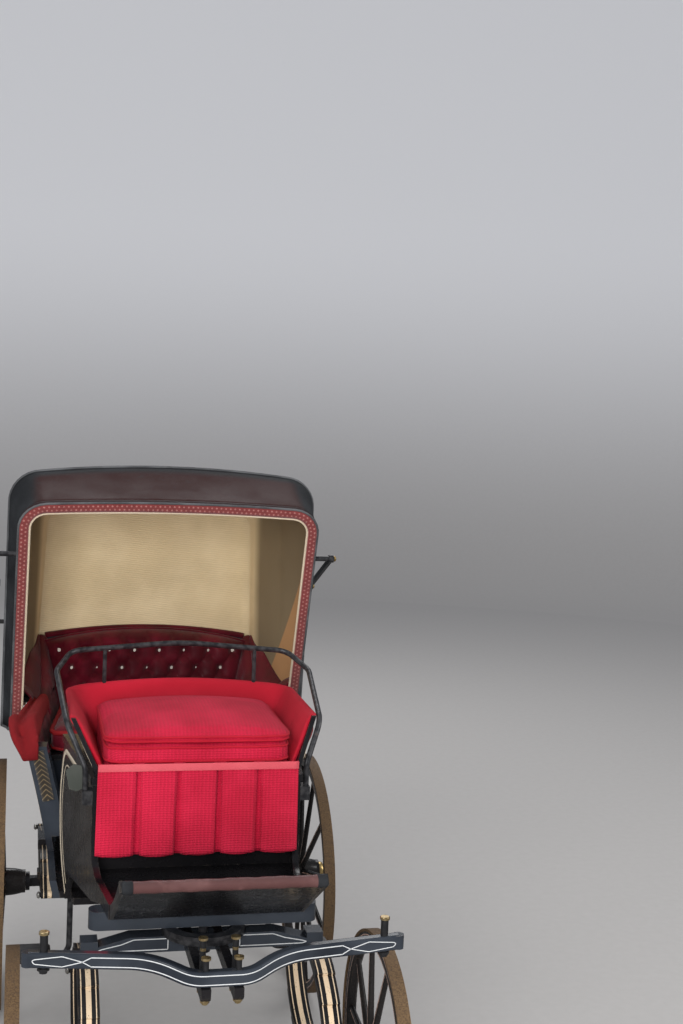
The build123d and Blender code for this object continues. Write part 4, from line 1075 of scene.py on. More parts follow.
def fill(made, cap, size, floor_z=None):
    """Evens a closed piece's faces and blows it up like a cushion, with no point moved beyond the cap."""
    modifier = made.modifiers.new("remesh", "REMESH")
    modifier.mode = "VOXEL"
    modifier.voxel_size = size
    settle(made)
    start = [v.co.copy() for v in made.data.vertices]
    modifier = made.modifiers.new("cloth", "CLOTH")
    modifier.settings.quality = 5
    modifier.settings.mass = 0.3
    modifier.settings.use_pressure = True
    modifier.settings.uniform_pressure_force = FILL_PRESSURE
    modifier.settings.effector_weights.gravity = 0
    for number in range(1, FILL_FRAMES + 1):
        bpy.context.scene.frame_set(number)
    graph = bpy.context.evaluated_depsgraph_get()
    moved = [v.co.copy() for v in made.evaluated_get(graph).data.vertices]
    made.modifiers.clear()
    bpy.context.scene.frame_set(1)
    for vertex, old, new in zip(made.data.vertices, start, moved):
        step = new - old
        if step.length > cap:
            step *= cap / step.length
        vertex.co = old + step
    if floor_z is not None:
        for vertex in made.data.vertices:
            vertex.co.z = max(vertex.co.z, floor_z)
    soften(made)
    settle(made)


def surface_of(made):
    graph = bpy.context.evaluated_depsgraph_get()
    return BVHTree.FromObject(made, graph)


def cord_on(name, made, path, radius, finish, slot):
    """A sewn cord that lies on a cushion, snapped to its surface."""
    tree = surface_of(made)
    snapped, ups = [], []
    for place in path:
        near, normal, _, _ = tree.find_nearest(place)
        snapped.append(near + normal * radius * 0.4)
        ups.append(normal)
    piece(name, *sweep(snapped, round_section(radius, 8), ups, True), finish, "body", slot)


def plan_ring(plan, height, count=110):
    return [in_plan(plan, u, v, height) for u, v in squircle(count)]


print("cushion makers are ready")

# %% [markdown]
# The driver sits on a crimson stack: a deep boxed cushion with a thin mattress on it, each edged with a
# cord of its own cloth. Both are filled by simulation and then corded along their seams.

# %% The driver's cushions
SEAT_TOP = 714
DRIVER_PLAN = ((-179, 124), (179, 124), (178, 424), (-178, 424))
# Columns: name, low, high, crown, cap, heights of the cords
DRIVER_LAYERS = (
    ("driver_cushion_base", SEAT_TOP + 0.5, 732, 0, 0.003, ()),
    ("driver_cushion_boxed", 733, 771, 2, 0.006, (737, 769)),
    ("driver_cushion_top", 772, 788, 27, 0.006, (775, 787)),
)
for name, low, high, crown, cap, cords in DRIVER_LAYERS:
    layer = piece(name, *cushion_form(DRIVER_PLAN, boxed_profile(low, high), crown), crimson_cloth, "body",
                  "crimson_cloth")
    fill(layer, cap, 0.0045, at(0, 0, low).z)
    for number, height in enumerate(cords):
        cord_on(f"{name}_cord_{number + 1}", layer, plan_ring(DRIVER_PLAN, height), 0.0024, crimson_plain,
                "crimson_cloth")
    print(name, len(layer.data.polygons), "faces")
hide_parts("driver_cushion")

# %% [markdown]
# The back and wings of the driver's seat are lined with the same cloth, lightly stuffed. The lining is one
# strip that runs round the inside of the tub, turns over its top edge in a soft roll, and ends at the
# wings' sloping fronts. It is a skin of rows, each a small cross-section of the padding.

# %% The driver's seat lining
WING_TOP = 808
WING_FRONT = 128
BACK_CROWN = 15          # how far the middle of the back's roll rises over its corners


def tub_place(along, inset, height):
    """A point of the seat tub's wall, 0 at the left wing's front and 1 at the right one's."""
    share = (height - SEAT_TOP) / (WING_TOP - SEAT_TOP)
    half = between(186, 234, share) - inset
    rear = between(452, 478, share) - inset
    corner = 45 - inset
    front = WING_FRONT + max(0.0, 66 * (height - SEAT_TOP - 16) / (WING_TOP - SEAT_TOP - 16)) + 3
    outline = [Vector((-half, front, height)), Vector((-half, rear - corner, height))]
    outline += [Vector((-half + corner * (1 - math.cos(t)), rear - corner * (1 - math.sin(t)), height))
                for t in [math.pi / 2 * k / 8 for k in range(1, 9)]]
    outline += [Vector((half - corner * (1 - math.cos(t)), rear - corner * (1 - math.sin(t)), height))
                for t in [math.pi / 2 * (1 - k / 8) for k in range(9)]]
    outline.append(Vector((half, front, height)))
    lengths = run_lengths(outline)
    want = along * lengths[-1]
    for index in range(len(outline) - 1):
        if want <= lengths[index + 1] or index == len(outline) - 2:
            span = lengths[index + 1] - lengths[index]
            return between(outline[index], outline[index + 1], (want - lengths[index]) / span)


# Columns: inset, height, how much of the swelling this point takes
LINING_PROFILE = (
    (9.2, 716, 0), (10.5, 716, 0), (17, 722, 0.3), (17.5, 740, 1), (17.5, 760, 1), (17, 780, 1),
    (15.5, 795, 0.7),
    (14, 805, 0.3), (10, 811, 0), (4, 812.5, 0), (-1.5, 810, 0), (-3, 804, 0), (-2.4, 798, 0), (-0.2, 798, 0),
    (-0.2, 807.5, 0), (9.2, 807.5, 0),
)
LINING_STEPS = 120
lining_points = []
for step in range(LINING_STEPS + 1):
    along = step / LINING_STEPS
    swell = 2.6 * math.sin(math.pi * min(1, along * 20)) + 2.2 * abs(math.sin(math.pi * along * 9))
    crown = BACK_CROWN * math.sin(math.pi * max(0.0, min(1.0, (along - 0.27) / 0.46)))
    for inset, height, share in LINING_PROFILE:
        x, y, z = tub_place(along, inset + swell * share, height)
        lining_points.append(at(x, y, z + crown * smooth_step((height - 799) / 10)))
faces = tube_faces(LINING_STEPS + 1, len(LINING_PROFILE))
seat_lining = piece("driver_seat_padding", lining_points, faces, crimson_plain, "body", "crimson_cloth")
soften(seat_lining)
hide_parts("driver_seat_lining")
print("seat lining", len(seat_lining.data.polygons), "faces")

# %% [markdown]
# The fall is the cloth that hides the front of the boot. It is pleated into five flat boxes: between two
# boxes the cloth turns back behind itself. One row of points crosses all the pleats, and each lower row is
# the same a little looser, so that the boxes open and sway as cloth does.

# %% The pleated fall
FALL_HALF = 186
FALL_TOP, FALL_BOTTOM = 741, 567
FALL_BACK = 119.2
PLEATS = 5


def fall_row(share):
    """One row across the fall, from the left edge to the right, at a share of the way down."""
    pitch = 2 * FALL_HALF / PLEATS
    slot = between(6.5, 11.0, smooth_step(share * 1.4))
    depth = between(6.0, 9.5, share)
    row = []
    for number in range(PLEATS):
        low = -FALL_HALF + number * pitch
        high = low + pitch
        start, end = low + slot / 2, high - slot / 2
        fold = 7.0
        if number == 0:
            row += [(low, 1.0), (low, depth * 0.7)]
            start = low + 1.5
        else:
            row += [(start + fold, 1.6), (start + 0.4, 2.2)]
        if number == PLEATS - 1:
            end = high - 1.5
        row += [(start, depth * 0.8)]
        for step in range(1, 10):
            across = between(start, end, step / 10)
            swell = math.sin(math.pi * step / 10) * between(0.6, 2.6, share)
            sway = math.sin(across * 0.021 + number * 1.7 + share * 2.2) * 1.6 * share
            row.append((across, depth + swell + sway))
        row += [(end, depth * 0.8)]
        if number == PLEATS - 1:
            row += [(high, depth * 0.7), (high, 1.0)]
        else:
            row += [(end - 0.4, 2.2), (end - fold, 1.6), (end - fold + 1, 0.7)]
            row += [(high + slot / 2 + fold - 1, 0.7)]
    return row


FALL_ROWS = 26
fall_points = []
for number in range(FALL_ROWS + 1):
    share = number / FALL_ROWS
    row = fall_row(share)
    for x, out in row:
        wave = abs(math.sin(math.pi * (x + FALL_HALF) / (2 * FALL_HALF) * PLEATS))
        scallop = 3.0 * wave * smooth_step(share * 6 - 5)
        z = between(FALL_TOP, FALL_BOTTOM + 4, share) - scallop
        fall_points.append(at(x * between(1.0, 1.012, share), FALL_BACK - out, z))
width = len(fall_row(0))
fall = piece("seat_fall_cloth", fall_points, skin_faces(FALL_ROWS + 1, width), crimson_cloth, "body",
             "crimson_cloth")
thicken(fall, 0.0012)
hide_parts("seat_fall")
band_path = [at(x, FALL_BACK - 7.2, 734) for x in range(-FALL_HALF, FALL_HALF + 1, 12)]
band = piece("seat_fall_band", *sweep(band_path, rounded_section(0.0025, 0.014, 0.001), Vector((0, 0, 1))),
             binding_cloth, "body", "crimson_cloth")

# %% [markdown]
# The passengers lean on a squab: a back cushion of maroon leather drawn down by rows of porcelain buttons.
# Between four buttons the leather swells into a diamond, and folds run from button to button. Each point
# is pushed back by how near it is to a button and to the folds, which a few lines of code can do exactly.

# %% The buttoned squab
ARC_FOOT, ARC_MIDDLE, ARC_TOP = (1085, 388), (1188, 545), (1262, 800)
TUB_HALF, TUB_LEAN, TUB_TAPER, TUB_BOTTOM, ELBOW_Y = 236, 0.248, 0.13, 388, 716


def circle_through(a, b, c):
    ax, ay = a
    bx, by = b
    cx, cy = c
    d = 2 * (ax * (by - cy) + bx * (cy - ay) + cx * (ay - by))
    aa, bb, cc = ax * ax + ay * ay, bx * bx + by * by, cx * cx + cy * cy
    ux = (aa * (by - cy) + bb * (cy - ay) + cc * (ay - by)) / d
    uy = (aa * (cx - bx) + bb * (ax - cx) + cc * (bx - ax)) / d
    return ux, uy, math.hypot(ax - ux, ay - uy)


ARC_Y, ARC_Z, ARC_RADIUS = circle_through(ARC_FOOT, ARC_MIDDLE, ARC_TOP)


def back_y(height):
    """Where the back panel's outer face stands at a height."""
    reach = math.sqrt(max(0.0, ARC_RADIUS ** 2 - (height - ARC_Z) ** 2))
    return ARC_Y + reach if ARC_Y < ARC_FOOT[0] else ARC_Y - reach


def tub_half(y, z):
    return TUB_HALF + (z - TUB_BOTTOM) * TUB_LEAN - max(0, y - ELBOW_Y) * TUB_TAPER


SQUAB_LOW, SQUAB_TOP, SQUAB_CROWN = 590, 803, 34
BUTTON_STEP_X, BUTTON_STEP_Z = 64, 44
LOWEST_BUTTONS = SQUAB_LOW + 28


def button_places():
    places = []
    for row in range(5):
        z = LOWEST_BUTTONS + row * BUTTON_STEP_Z
        shift = 0.5 if row % 2 else 0.0
        for column in range(-4, 5):
            x = (column + shift) * BUTTON_STEP_X
            top = SQUAB_TOP - SQUAB_CROWN * (x / 260) ** 2
            if abs(x) < 236 and z < top - 10:
                places.append((x, z))
    return places


BUTTONS = button_places()


def tufting(x, z):
    """How far the leather is drawn back at a place on the squab, in millimetres."""
    nearest = min(math.hypot((x - bx), (z - bz)) for bx, bz in BUTTONS)
    dimple = 17 * math.exp(-(nearest / 15) ** 1.3)
    across, above = x / BUTTON_STEP_X, (z - LOWEST_BUTTONS) / (2 * BUTTON_STEP_Z)
    u, v = across + above, across - above
    fold_u = abs(u - round(u)) * BUTTON_STEP_X * 0.8
    fold_v = abs(v - round(v)) * BUTTON_STEP_X * 0.8
    folds = 6.5 * math.exp(-fold_u / 5.0) + 6.5 * math.exp(-fold_v / 5.0)
    return dimple + folds


WALL, SQUAB_GAP = 14, 0.6


def squab_point(u, v):
    """A place on the rear of the squab, at shares across and up."""
    x_share = 2 * u - 1
    z = between(SQUAB_LOW, SQUAB_TOP - SQUAB_CROWN * x_share ** 2, v)
    y = back_y(z) - WALL - SQUAB_GAP
    return x_share * (tub_half(y, z) - 2 * SQUAB_GAP), y, z


SQUAB_ACROSS, SQUAB_UP = 150, 72
squab_front, squab_rear = [], []
for row in range(SQUAB_UP + 1):
    v = row / SQUAB_UP
    for column in range(SQUAB_ACROSS + 1):
        u = column / SQUAB_ACROSS
        edge = min(1.0, 8 * u, 8 * (1 - u))
        edge_z = min(1.0, 5 * v + 0.4, 5 * (1 - v))
        soft = math.sin(math.pi / 2 * edge) * math.sin(math.pi / 2 * edge_z)
        x, y, z = squab_point(u, v)
        depth = 16 + 44 * soft ** 0.55 - tufting(x, z) * soft
        squab_front.append(at(x, y - depth, z))
        squab_rear.append(at(x, y, z))
grid = skin_faces(SQUAB_UP + 1, SQUAB_ACROSS + 1)
offset = len(squab_front)
faces = grid + [tuple(index + offset for index in reversed(face)) for face in grid]
wide = SQUAB_ACROSS + 1
rim_loop = (list(range(wide)) + [row * wide + SQUAB_ACROSS for row in range(1, SQUAB_UP + 1)]
            + [SQUAB_UP * wide + k for k in range(SQUAB_ACROSS - 1, -1, -1)]
            + [row * wide for row in range(SQUAB_UP - 1, 0, -1)])
for a, b in zip(rim_loop, rim_loop[1:] + rim_loop[:1]):
    faces.append((a, b, b + offset, a + offset))
squab = piece("rear_squab_leather", squab_front + squab_rear, faces, maroon_leather, "body", "maroon_leather")
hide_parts("rear_squab")

squab_surface = surface_of(squab)
BUTTON_PROFILE = ((-0.003, 0.0035), (-0.0005, 0.0062), (0.0012, 0.0062), (0.0028, 0.0045), (0.0034, 0.0018))
parts = []
for x, z in BUTTONS:
    hit = squab_surface.ray_cast(at(x, 900, z), FORWARD)[0]
    if hit is not None:
        parts.append(turned(hit, Vector((0, -0.97, 0.24)), BUTTON_PROFILE, 14))
piece("squab_buttons", *gathered(parts), porcelain.material, "body")
edge_line = squab_front[-SQUAB_ACROSS - 1::2]
piece("squab_top_cord", *sweep(edge_line, round_section(0.0035, 8), -FORWARD), maroon_leather, "body",
      "maroon_leather")
print("squab: buttons", len(parts))

# %% [markdown]
# The rear seat cushion fills the tub between the arm pads. Its plan narrows to the back like the tub, its
# top is crowned, and a red cord runs along its front edge.

# %% The rear cushion
REAR_LOW, REAR_HIGH = 585, 640
rear_front, rear_rear = 792, back_y(612) - WALL - 62
front_half, rear_half = [tub_half(y, 612) - 20 for y in (rear_front, rear_rear)]
REAR_PLAN = ((-front_half, rear_front), (front_half, rear_front), (rear_half, rear_rear - 3),
             (-rear_half, rear_rear - 3))
rear_form = cushion_form(REAR_PLAN, boxed_profile(REAR_LOW, REAR_HIGH - 4), 9)
rear_cushion = piece("rear_cushion_cloth", *rear_form, maroon_leather, "body", "maroon_leather")
fill(rear_cushion, 0.007, 0.0055, at(0, 0, REAR_LOW).z)
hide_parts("rear_cushion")
for number, (height, radius) in enumerate(((REAR_LOW + 4, 0.0034), (REAR_HIGH - 5, 0.0058))):
    cord_on(f"rear_cushion_cord_{number + 1}", rear_cushion, plan_ring(REAR_PLAN, height), radius, red_velvet,
            "red_velvet")
print("rear cushion", len(rear_cushion.data.polygons), "faces")

# %% [markdown]
# The arms are padded with red velvet that rolls over the elbow at the front. The solid already has the
# right outline, so a copy of it is made even and a little smaller, then filled until it is round.

# %% The velvet arms
ARM_SHRINK = 0.003


def velvet_copy(node, name):
    """A copy of an arm's solid, made a little smaller and filled until it is round."""
    made = bpy.data.objects.new(name, nodes[node].data.copy())
    bpy.context.scene.collection.objects.link(made)
    clean(made.data, 0.0001)
    made.data.materials.clear()
    made.data.materials.append(red_velvet)
    centre = sum((v.co for v in made.data.vertices), Vector()) / len(made.data.vertices)
    low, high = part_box(node)
    for vertex in made.data.vertices:
        for axis in range(3):
            half = (high[axis] - low[axis]) / 2
            vertex.co[axis] = centre[axis] + (vertex.co[axis] - centre[axis]) * (1 - ARM_SHRINK / half)
    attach(made, "body")
    fill(made, 0.006, 0.0045)
    return made


def arm_form(made):
    """Draws the arm in towards its foot and sinks a valley along it, so that its front reads as a vee."""
    for vertex in made.data.vertices:
        x, y, z = abs(vertex.co.x) * 1000, (vertex.co.y - KING_PIN_Y) * 1000, vertex.co.z * 1000
        sign = 1 if vertex.co.x > 0 else -1
        inner = tub_half(y, z) - 18
        across = (x - inner) / 62
        foot = smooth_step((655 - z) / 70) * smooth_step((790 - y) / 60)
        across = between(across, 0.42, 0.42 * foot)
        valley = math.exp(-((across - 0.5) / 0.17) ** 2) * smooth_step((z - 592) / 60)
        rear = smooth_step((y - 760) / 200)
        x = inner + across * 62 - rear * max(0.0, across - 0.3) * 24
        vertex.co.x = sign * x / 1000
        vertex.co.y += 0.013 * valley * smooth_step((735 - y) / 40)
        vertex.co.z -= 0.015 * valley * smooth_step((z - 640) / 25)


for side in ("left", "right"):
    arm = velvet_copy("arm_pad_" + side, "arm_velvet_" + side)
    arm_form(arm)
    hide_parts("arm_pad_" + side)
    print(arm.name, len(arm.data.polygons), "faces")

# %% [markdown]
# Behind the arms the maroon leather goes on over the rising edge of the tub, so that no bare wood touches
# a passenger. Each side is a small cross-section of padding carried along the panel's curved top edge, and
# a stuffed roll covers the top of the back between them.

# %% The padded edge of the tub
ARM_END, EDGE_POINT, BACK_TOP_EDGE = (1000, 646), (1146, 710), (1262, 800)
BACK_DROP = 22           # how much lower the back's corners are than its middle
edge_of_side = circle_through(ARM_END, EDGE_POINT, BACK_TOP_EDGE)


def side_edge(y):
    """The height of a side panel's top edge."""
    middle_y, middle_z, radius = edge_of_side
    rise = math.sqrt(max(0.0, radius ** 2 - (y - middle_y) ** 2))
    height = middle_z - rise if middle_z > EDGE_POINT[1] else middle_z + rise
    return min(height, BACK_TOP_EDGE[1] - BACK_DROP)


def tub_top(y):
    """The height of the tub's edge: the arm's rail in front, and the side panel's curve behind it."""
    return side_edge(y) if y > ARM_END[0] else 622 + (y - ELBOW_Y) * 24 / 284


def padding_section(low, top):
    """Places inwards or outwards of the wall's inner face, with their heights."""
    middle = (low + top) / 2
    return ((-0.4, low), (-9, low + 4), (-12.5, middle), (-11.5, top - 7), (-7, top + 3), (2, top + 7),
            (10, top + 6), (16, top + 1), (16, top - 5), (WALL + 0.4, top - 5), (WALL + 0.4, top + 0.4),
            (-0.4, top + 0.4))


def edge_section(y, share):
    top = side_edge(y)
    swell = 1 + 0.12 * math.cos(share * 2 * math.pi * 4)
    places = padding_section(min(652, top - 26), top)
    return [(aside * swell if aside < -1 else aside, z) for aside, z in places]


def side_padding(name, first, last, steps, section_at):
    """A stuffed strip along each side panel, from its section at every step of the way back."""
    for side, sign in SIDES:
        points = []
        for step in range(steps + 1):
            share = step / steps
            y = between(first, last, share)
            points += [at(sign * (tub_half(y, z) + aside), y, z) for aside, z in section_at(y, share)]
        faces = tube_faces(steps + 1, len(points) // (steps + 1))
        made = piece(name + side, points, faces, maroon_leather, "body", "maroon_leather")
        soften(made)


side_padding("tub_edge_padding_", 1004, 1244, 60, edge_section)

roll_line = []
roll_half_width = tub_half(1262, 778) - 2
for step in range(81):
    x = between(-roll_half_width, roll_half_width, step / 80)
    z = BACK_TOP_EDGE[1] - BACK_DROP * (x / roll_half_width) ** 2
    roll_line.append(at(x, back_y(z) - WALL / 2, z + 1))
roll_form = sweep(roll_line, round_section(0.0088, 12), Vector((0, 0, 1)))
back_roll = piece("tub_back_roll", *roll_form, maroon_leather, "body", "maroon_leather")
print("padding round the tub is on")

# %% [markdown]
# The inner faces of the side panels, between the cushion and the arms, are lined in the same way.

# %% The side linings
def lining_section(y, share):
    top = min(tub_top(y) - 2, 655)
    puff = 1 + 0.2 * math.cos(share * 2 * math.pi * 6)
    return ((-0.4, 577), (-7, 580), (-10 * puff, 596), (-11 * puff, between(596, top, 0.6)), (-7, top - 3),
            (-0.4, top))


side_padding("side_lining_", 751.5, 1196, 56, lining_section)
print("side linings are on")

# %% [markdown]
# Between the tub's edge and the hood's side there would be an open slit. It is closed by a soft quarter, a
# padded leather panel that is nailed to the tub's edge and leans out to the hood's lining.

# %% The soft quarters
lining_surface = surface_of(lining)


def quarter_row(sign, y):
    """A row of the soft quarter from the tub's edge out to the hood's lining."""
    on_arm = smooth_step((1012 - y) / 30)
    low = tub_top(y) + between(3, 34, on_arm)
    inner = tub_half(y, low) + between(8, 14, on_arm)
    high = low + between(46, 9, smooth_step((y - 1130) / 95))
    hit, _, _, _ = lining_surface.ray_cast(at(0, y, high), RIGHTWARD * sign)
    outer = abs(hit.x) * 1000 - 1.0 if hit is not None else inner + 30
    row = []
    for step in range(9):
        share = step / 8
        x = between(inner, max(inner + 2, outer), share)
        z = between(low, high, share ** 0.8) + 5 * math.sin(math.pi * share)
        row.append(at(sign * x, y, z))
    return row


for side, sign in SIDES:
    rows = [quarter_row(sign, y) for y in range(952, 1233, 8)]
    soft_quarter = piece("soft_quarter_" + side, *skin(rows), maroon_leather, "body", "maroon_leather")
    thicken(soft_quarter, 0.004)
print("soft quarters are on")

# %% [markdown]
# The toe board's upper edge is wrapped in a roll of brown leather, stitched along its underside and closed
# at each end by a black cap. The roll is turned, with slow waves in its radius where the leather creases.

# %% The toe board's roll
roll_low, roll_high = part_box("toe_roll")
roll_y = (roll_low.y + roll_high.y) / 2
roll_z = (roll_low.z + roll_high.z) / 2
roll_half = (roll_high.x - roll_low.x) / 2
ROLL_RADIUS = 0.0098
CAP_INNER = roll_half - 0.017
roll_profile = []
for step in range(91):
    x = between(-CAP_INNER - 0.002, CAP_INNER + 0.002, step / 90)
    wave = 0.00035 * math.sin(x * 95) + 0.00025 * math.sin(x * 211 + 1)
    roll_profile.append((x, ROLL_RADIUS + wave))
roll = piece("toe_roll_leather", *turned(Vector((0, roll_y, roll_z)), RIGHTWARD, roll_profile, 24),
             roll_leather, "body", "roll_leather")
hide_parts("toe_roll")
CAP_PROFILE = ((CAP_INNER - 0.001, 0.0100), (CAP_INNER, 0.0111), (roll_half - 0.003, 0.0112),
               (roll_half - 0.0005, 0.0096), (roll_half, 0.0060))
caps = [turned(Vector((0, roll_y, roll_z)), RIGHTWARD * sign, CAP_PROFILE, 24) for _, sign in SIDES]
roll_caps = piece("toe_roll_caps", *gathered(caps), hood_leather, "body", "roll_leather")
store(roll_caps, "tint", [0.0] * len(roll_caps.data.vertices))
print("toe roll", round(2 * roll_half, 3), "m long")

# %% [markdown]
# Painted lines on panels are laid as very thin strips, each snapped to the panel that carries it by casting
# a ray at it. Doing it with rays means that a line follows a bent bar without knowing its shape.

# %% Painted lines on the panels and bars
LINE_LIFT, LINE_THICK = 0.0002, 0.0003


def painted_line(node, path, towards, width):
    """Points and faces of a painted strip where rays from a path meet a solid."""
    tree = surface_of(nodes[node])
    snapped, ups = [], []
    for place in path:
        hit, normal, _, _ = tree.ray_cast(place - towards * 0.05, towards)
        if hit is None:
            continue
        if normal.dot(towards) > 0:
            normal = -normal
        snapped.append(hit + normal * LINE_LIFT)
        ups.append(normal)
    return sweep(snapped, flat_section(width, LINE_THICK), ups)


line_paints = []
for name, dark, light in (("cream_line_paint", (0.50, 0.41, 0.30), (0.70, 0.61, 0.47)),
                          ("pale_line_paint", (0.46, 0.47, 0.48), (0.70, 0.71, 0.71))):
    finish = Finish(name, roughness=0.4, coat_weight=0.3)
    finish.set("Base Color", finish.mix(finish.noise(300, 4), dark, light))
    line_paints.append(finish.material)
cream_line, pale_line = line_paints

# The boot sides' round rear edge, as its arc's three points in y and z
EDGE_LOW, EDGE_MIDDLE, EDGE_TOP = (400, 388), (496, 556), (448, 700)
edge_y, edge_z, edge_radius = circle_through(EDGE_LOW, EDGE_MIDDLE, EDGE_TOP)


def edge_arc(inset, steps=60):
    start = math.atan2(EDGE_LOW[1] - edge_z, EDGE_LOW[0] - edge_y) + 0.03
    end = math.atan2(EDGE_TOP[1] - edge_z, EDGE_TOP[0] - edge_y) - 0.03
    radius = edge_radius - inset
    turns = [between(start, end, k / steps) for k in range(steps + 1)]
    return [(edge_y + radius * math.cos(turn), edge_z + radius * math.sin(turn)) for turn in turns]


boot_lines = []
for name, side in SIDES:
    for inset, width in ((12, 0.0110), (36, 0.0030)):
        top = 699 - inset
        arc = [(y, z) for y, z in edge_arc(inset) if z < top - 82]
        corner_y = edge_y + math.sqrt((edge_radius - inset) ** 2 - (top - edge_z) ** 2)
        corners = [at(side * 420, *arc[-1]), at(side * 420, corner_y + 6, top), at(side * 420, 170, top)]
        path = [at(side * 420, y, z) for y, z in arc] + rounded_path(corners, (0.058,), 14)[1:]
        boot_lines.append(painted_line("boot_side_" + name, resampled(path, 110), RIGHTWARD * -side, width))
piece("boot_painted_lines", *gathered(boot_lines), cream_line, "body", "black_paint")

wing_lines = []
for side in (-1, 1):
    for inset, width in ((7, 0.0030), (16, 0.0014)):
        corners = [at(side * 420, 430, 797 - inset), at(side * 420, 190 + inset, 797 - inset),
                   at(side * 420, 131 + inset, 744), at(side * 420, 131 + inset, 716 + inset),
                   at(side * 420, 430, 716 + inset)]
        path = resampled(rounded_path(corners, (0.006, 0.006, 0.006)), 90)
        wing_lines.append(painted_line("driver_seat_shell", path, RIGHTWARD * -side, width))
piece("wing_painted_lines", *gathered(wing_lines), cream_line, "body", "black_paint")

PANEL_LINE = ((648, 408), (1068, 402), (1120, 460), (1164, 545), (1178, 588), (886, 592), (738, 596),
              (716, 560), (700, 500), (664, 448), (648, 408))
tub_lines = []
for name, side in SIDES:
    corners = [at(side * 460, y, z) for y, z in PANEL_LINE]
    path = resampled(rounded_path(corners, (0.04, 0.16, 0.3, 0.03, 0.4, 0.012, 0.1, 0.08, 0.08)), 260)
    tub_lines.append(painted_line("quarter_panel_" + name, path, RIGHTWARD * -side, 0.0022))
piece("tub_painted_lines", *gathered(tub_lines), cream_line, "body", "blue_black_paint")

BED_LINE = ((64, 442.5), (64, 462), (124, 462), (146, 454), (178, 447.5), (186, 445),
            (178, 442.5), (64, 442.5))
bed_lines = []
for side in (-1, 1):
    path = [at(side * x, -60, z) for x, z in BED_LINE]
    bed_lines.append(painted_line("lower_bed", resampled(path, 90), FORWARD, 0.0016))
piece("bed_painted_lines", *gathered(bed_lines), pale_line, "fore_carriage", "blue_black_paint")

BAR_POINTS = ((-308, -185, 506), (-112, -195, 496), (-48, -235, 479), (48, -235, 479), (112, -195, 496),
              (308, -185, 506))
DIAMOND = ((208, -7.5), (222, 0), (254, 8.5), (298, 2.5), (302, 0), (298, -5), (254, -8.5),
           (222, 0), (208, 7.5))
bar_path = rounded_path([at(*point) for point in BAR_POINTS], (0.14, 0.06, 0.06, 0.14), 12)
bar_path = resampled(bar_path, 160)
bar_lines = []
for offset in (-7.5, 7.5):
    path = [place + Vector((0, 0, offset / 1000)) for place in bar_path if abs(place.x) < 0.208]
    bar_lines.append(painted_line("splinter_bar", path, FORWARD, 0.0017))
for side in (-1, 1):
    path = [at(side * x, -190, 500.9 + (x - 208) * 0.051 + z) for x, z in DIAMOND]
    bar_lines.append(painted_line("splinter_bar", resampled(path, 70), FORWARD, 0.0015))
piece("splinter_bar_painted_lines", *gathered(bar_lines), pale_line, "fore_carriage",
      "blue_black_paint")
print("painted lines:", len(boot_lines + wing_lines + tub_lines + bed_lines + bar_lines))

# %% [markdown]
# Small turned parts finish the ironwork: bright domed nuts on the spring eyes, a brass cap on each hub, and
# brass knobs on the hood's prop irons. They are all profiles spun about a line.

# %% Nuts, hub caps and hooks
NUT_PROFILE = ((-0.002, 0.0072), (0.001, 0.0074), (0.0026, 0.0062), (0.0040, 0.0040), (0.0046, 0.0015))
for pair, body in (("front", "fore_carriage"), ("rear", "body")):
    nuts = []
    for side in ("left", "right"):
        low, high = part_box(f"{pair}_spring_{side}")
        height = (low.z + high.z) / 2
        for y in (low.y + 0.008, high.y - 0.008):
            nuts.append(turned(Vector((low.x, y, height)), -RIGHTWARD, NUT_PROFILE, 14))
            nuts.append(turned(Vector((high.x, y, height)), RIGHTWARD, NUT_PROFILE, 14))
    piece(pair + "_spring_nuts", *gathered(nuts), steel, body, "steel_bolts")

HUB_PROFILE = ((-0.013, 0.0205), (-0.011, 0.0215), (-0.004, 0.0210), (-0.001, 0.0195), (0.0006, 0.0165),
               (0.0012, 0.0120), (0.0022, 0.0100), (0.0030, 0.0060), (0.0032, 0.0020))
for pair in ("front", "rear"):
    for side, sign in SIDES:
        low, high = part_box(f"{pair}_wheel_{side}")
        end = high.x if sign > 0 else low.x
        place = Vector((end - sign * 0.0032, (low.y + high.y) / 2, (low.z + high.z) / 2))
        piece(f"{pair}_hub_cap_{side}", *turned(place, RIGHTWARD * sign, HUB_PROFILE, 32), brass,
              f"{pair}_wheel_{side}", "steel_bolts")

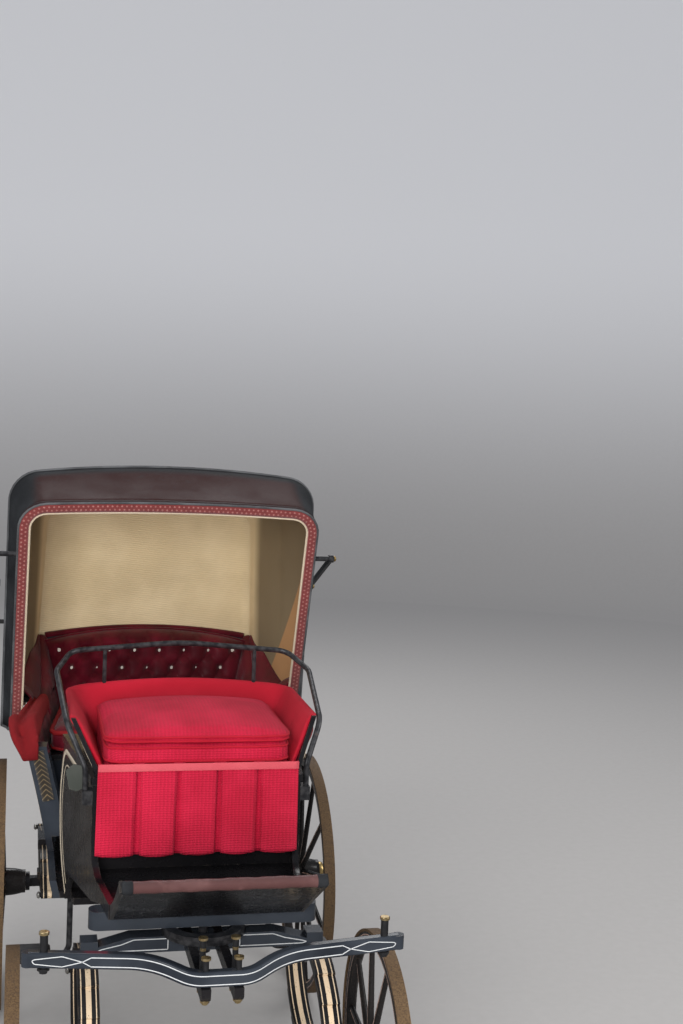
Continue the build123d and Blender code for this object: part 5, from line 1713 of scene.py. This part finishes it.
KNOB_PROFILE = ((-0.004, 0.0060), (0.0, 0.0066), (0.002, 0.0052), (0.0032, 0.0022))
KNOB_PLACES = ((765, 1048), (992, 952), (1190, 826))
knobs = []
for side, sign in SIDES:
    low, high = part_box("hood_joint_" + side)
    outer = high.x if sign > 0 else low.x
    for y, z in KNOB_PLACES:
        place = at(0, y, z)
        place.x = outer + sign * 0.0012
        knobs.append(turned(place, RIGHTWARD * sign, KNOB_PROFILE, 16))
piece("prop_knobs", *gathered(knobs), brass, "body", "steel_bolts")
print("turned parts are on")

# %% [markdown]
# Last come the small fittings at the seat and elbow: a gold braid down each elbow pillar, an iron plate
# that holds the driver's rail on the left, and a carpet where the passengers' feet go.

# %% Braid, plates and carpet
BRAID_WIDTH = 0.026
braids, braid_along, braid_aside = [], [], []
BRAID_SECTION = ((-0.5, 0.0), (0.5, 0.0), (0.5, 0.0012), (0.0, 0.0018), (-0.5, 0.0012))
for name, side in SIDES:
    tree = surface_of(nodes["quarter_panel_" + name])
    path = []
    for step in range(40):
        z = between(505, 612, step / 39)
        x = side * (tub_half(ELBOW_Y, z) - 9)
        hit = tree.ray_cast(at(x, 520, z), FORWARD)[0]
        if hit is not None:
            path.append(hit - FORWARD * 0.0004)
    points, faces = sweep(path, [(a * BRAID_WIDTH, b) for a, b in BRAID_SECTION], -FORWARD)
    braids.append((points, faces))
    braid_along += [point.z for point in points]
    braid_aside += [BRAID_SECTION[k % len(BRAID_SECTION)][0] * BRAID_WIDTH for k in range(len(points))]
braid = piece("elbow_braids", *gathered(braids), gold_braid, "body")
store(braid, "along", braid_along)
store(braid, "aside", braid_aside)

PLATE_OUTLINE = ((205, 729), (229, 735), (243, 724), (236, 690), (222, 684), (205, 692))
sides = len(PLATE_OUTLINE)
points = [at(-x, y - (x - 205) * 0.25, z) for y in (150, 146) for x, z in PLATE_OUTLINE]
faces = [tuple(range(sides)), tuple(range(sides, 2 * sides))]
faces += [(k, (k + 1) % sides, (k + 1) % sides + sides, k + sides) for k in range(sides)]
piece("whip_plate", points, faces, plate_paint, "body", "black_iron", flat=True)

CARPET_EDGES = ((-206, 412), (206, 412), (222, 796), (-222, 796))
CARPET_PROFILE = ((0.9, 402.5, False), (0.02, 402.5, False), (0.0, 404.5, False), (0.01, 406.5, False),
                  (0.9, 406.5, False))
piece("footwell_carpet", *cushion_form(CARPET_EDGES, CARPET_PROFILE, 0), carpet, "body")
print("fittings are on")
